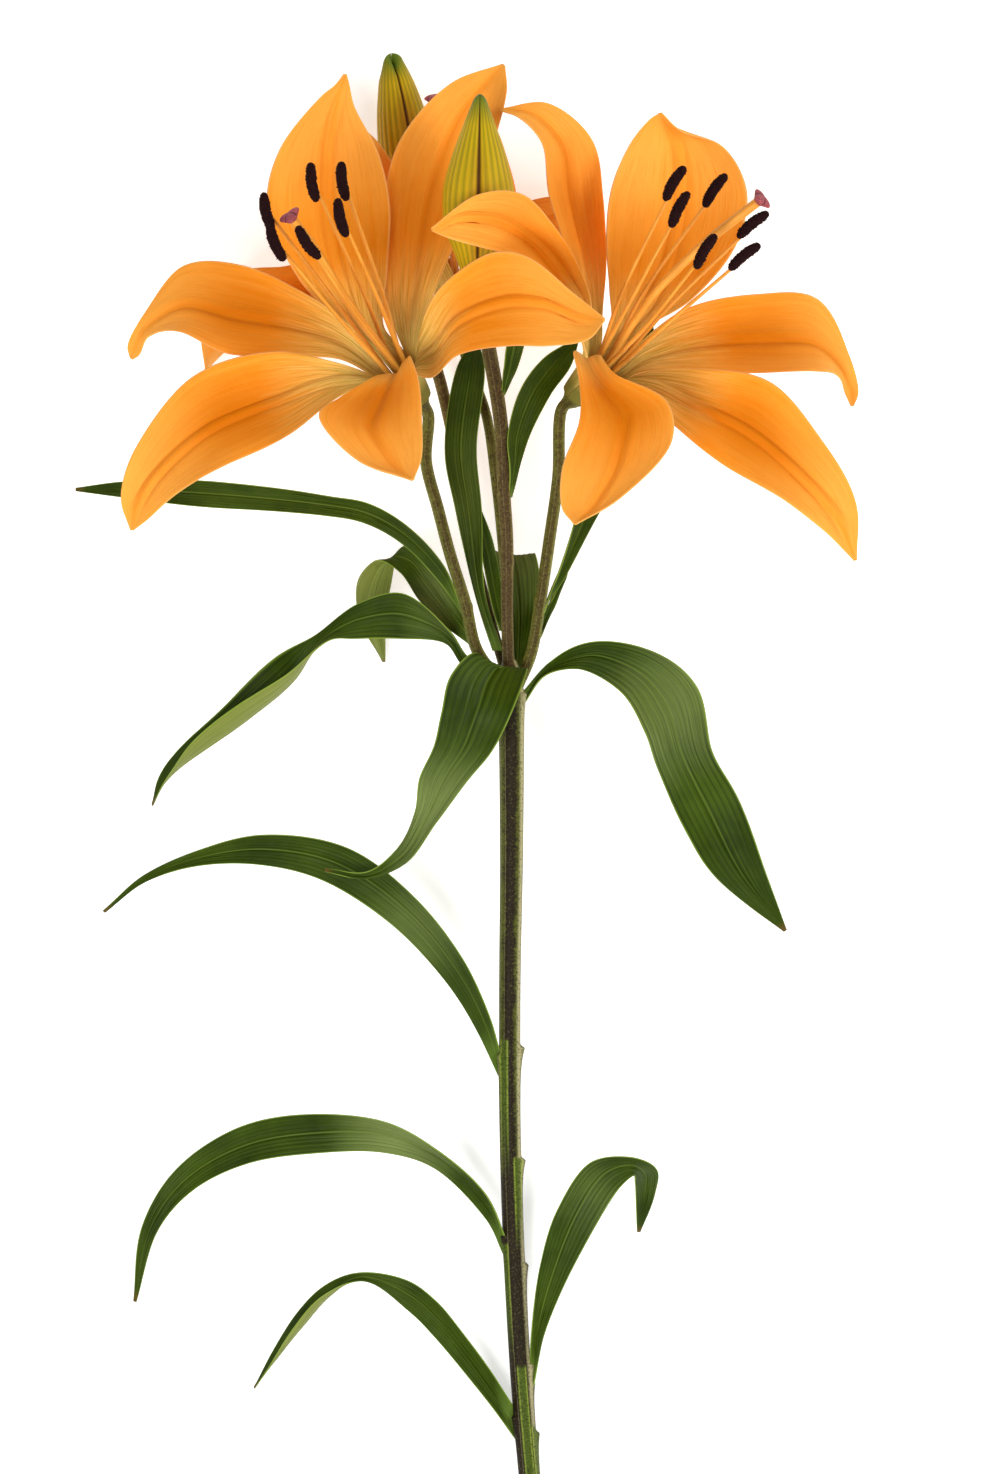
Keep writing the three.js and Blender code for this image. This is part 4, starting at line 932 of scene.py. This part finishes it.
# Where along each leaf its painted highlight shows, how far it spreads, and how strong it is.
LEAF_PAINTED_SHEEN = {
    "whorl_leaf_right": (0.42, 0.18, 0.65), "whorl_leaf_front": (0.6, 0.2, 0.9),
    "whorl_leaf_back_left": (0.22, 0.14, 0.7), "whorl_leaf_left": (0.2, 0.1, 0.4),
    "whorl_leaf_back": (0.5, 0.25, 0.7), "whorl_leaf_upright_left": (0.5, 0.3, 0.35),
    "stem_leaf_mid_left": (0.3, 0.12, 0.55), "stem_leaf_lower_left": (0.3, 0.12, 0.9),
    "stem_leaf_lower_right": (0.55, 0.15, 0.4), "stem_leaf_bottom_left": (0.5, 0.15, 0.3),
}
# The path and the radius of what leaves grow from. The bud's stalk is thicker at its bracts.
LEAF_GROUNDS = {
    "stem": (STEM_PATH, STEM_RADIUS), "whorl": (STEM_PATH, STEM_TOP_RADIUS),
    "left": (stalk_path("left"), STALK_RADIUS["left"]),
    "right": (stalk_path("right"), STALK_RADIUS["right"]),
    "centre_bud": (stalk_path("centre_bud"), STALK_RADIUS["centre_bud"] + 0.25),
}

for number, (leaf, (ground, wave_height, waves, outline)) in enumerate(LEAVES.items()):
    path, thick = LEAF_GROUNDS[ground]
    foot = (np.array(outline[0][:3]) + np.array(outline[0][3:6])) / 2
    along_path = even_path(path, np.linspace(0, 1, 601))
    nearest = along_path[np.argmin(np.linalg.norm(along_path - foot, axis=1))]
    moved = nearest + unit(foot - nearest) * (thick + LEAF_GAP + LEAF_SOLID / 2) - foot
    rows = [[*(np.array(r[:3]) + moved), *(np.array(r[3:6]) + moved), *r[6:]] if len(r) > 3
            else [*(np.array(r) + moved)] for r in outline]
    inward = unit(nearest - foot) * (LEAF_GAP + LEAF_SEAT)
    rows[0] = [*(np.array(rows[0][:3]) + inward), *(np.array(rows[0][3:6]) + inward), *rows[0][6:]]

    def leaf_relief(share, x, v):
        """A sharp midrib groove, ten parallel veins, and margins that wave."""
        grown = ramp(0.0, 0.12, share) * ramp(0, 0.12, 1 - share)
        midrib = -0.55 * bump(x, 0.8)
        veins = 0.1 * np.cos(2 * np.pi * LEAF_VEINS * v)
        beat = 2 * np.pi * waves * share + number + 1.1 * np.sign(v)
        wave = wave_height * np.abs(v) ** 3 * np.sin(beat)
        return grown * (midrib + veins + wave)

    rings, share, v, upper, x = blade(rows, LEAF_CUP, LEAF_THICKNESS, leaf_relief, 120, 48)
    # A painted highlight, pale and streaked by the fine veins, lies on part of each leaf.
    highlight_at, spread, strength = LEAF_PAINTED_SHEEN.get(leaf, (0.5, 0.2, 0.2))
    shell(leaf, rings, leaf_material, "leaf", leaf, along=share, across=v, upper=upper,
          number=number * 3.7, sheen=strength * bump(share - highlight_at, spread),
          rib=bump(x, 0.35) * ramp(0, 0.3, 1 - share),
          vein=0.5 - 0.5 * np.cos(2 * np.pi * LEAF_VEINS * v))

# -------------------- room, light and camera
# A matt white light table under broad soft lamps, with the camera straight above, five metres
# off, so that the whole plant is seen nearly without perspective.
TABLE_SIDE = 8.0
TABLE_GLOW = 0.5  # a light table, lit a little from within
CAMERA_HEIGHT = 5.0
FLOWER_HEIGHT = 0.06  # metres off the table
VIEW_LENGTH = 0.4913  # of the plant, at that height, that fills the view from end to end
SENSOR = 36.0

bpy.ops.mesh.primitive_plane_add(size=TABLE_SIDE)
table = bpy.context.object
table.name = "table"
# Sprayed matt paint: plain white, with only a trace of grain.
table_material, tree = new_material("matt white table paint")
grain = speckle(tree, 300.0, 2.0)
finish_skin(tree, painted(tree, "F6F6F6", (grain, 0.0, 1.0, 1.0, "FAFAFA")), grain, 0.0001,
            {"Roughness": 0.9, "Specular IOR Level": 0.1, "Emission Color": "FFFFFF",
             "Emission Strength": TABLE_GLOW}, 0.1)
table.data.materials.append(table_material)
table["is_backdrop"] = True

world = bpy.data.worlds.new("soft white room")
bpy.context.scene.world = world
world.use_nodes = True
world.node_tree.nodes.clear()
sky = add_node(world.node_tree, "ShaderNodeBackground", {"Color": "FFFFFF", "Strength": 0.34})[0]
add_node(world.node_tree, "ShaderNodeOutputWorld", {0: sky})

# Each lamp: where it stands, its width in metres and its power in watts. All aim at the middle
# of the plant.
plant_low, plant_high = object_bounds()
for name, stand, width, power in [
    ("key lamp", (-0.8, -0.6, 2.3), 1.1, 38.0),
    ("fill lamp", (1.6, 0.4, 1.8), 1.0, 28.0),
    ("low lamp", (0.5, -1.9, 1.3), 0.7, 16.0),
]:
    light = bpy.data.lights.new(name, "AREA")
    light.shape, light.size, light.energy = "DISK", width, power
    lamp = bpy.data.objects.new(name, light)
    bpy.context.scene.collection.objects.link(lamp)
    lamp.location = stand
    aim = (plant_low + plant_high) / 2 - lamp.location
    lamp.rotation_euler = aim.to_track_quat("-Z", "Y").to_euler()

camera_data = bpy.data.cameras.new("camera")
camera_data.sensor_width = SENSOR
camera_data.lens = SENSOR * (CAMERA_HEIGHT - FLOWER_HEIGHT) / VIEW_LENGTH
camera_data.clip_end = 50.0
camera = bpy.data.objects.new("camera", camera_data)
bpy.context.scene.collection.objects.link(camera)
camera.location = (plant_origin[0], plant_origin[1], plant_origin[2] + CAMERA_HEIGHT)
bpy.context.scene.camera = camera
bpy.context.scene.view_settings.view_transform = "Standard"
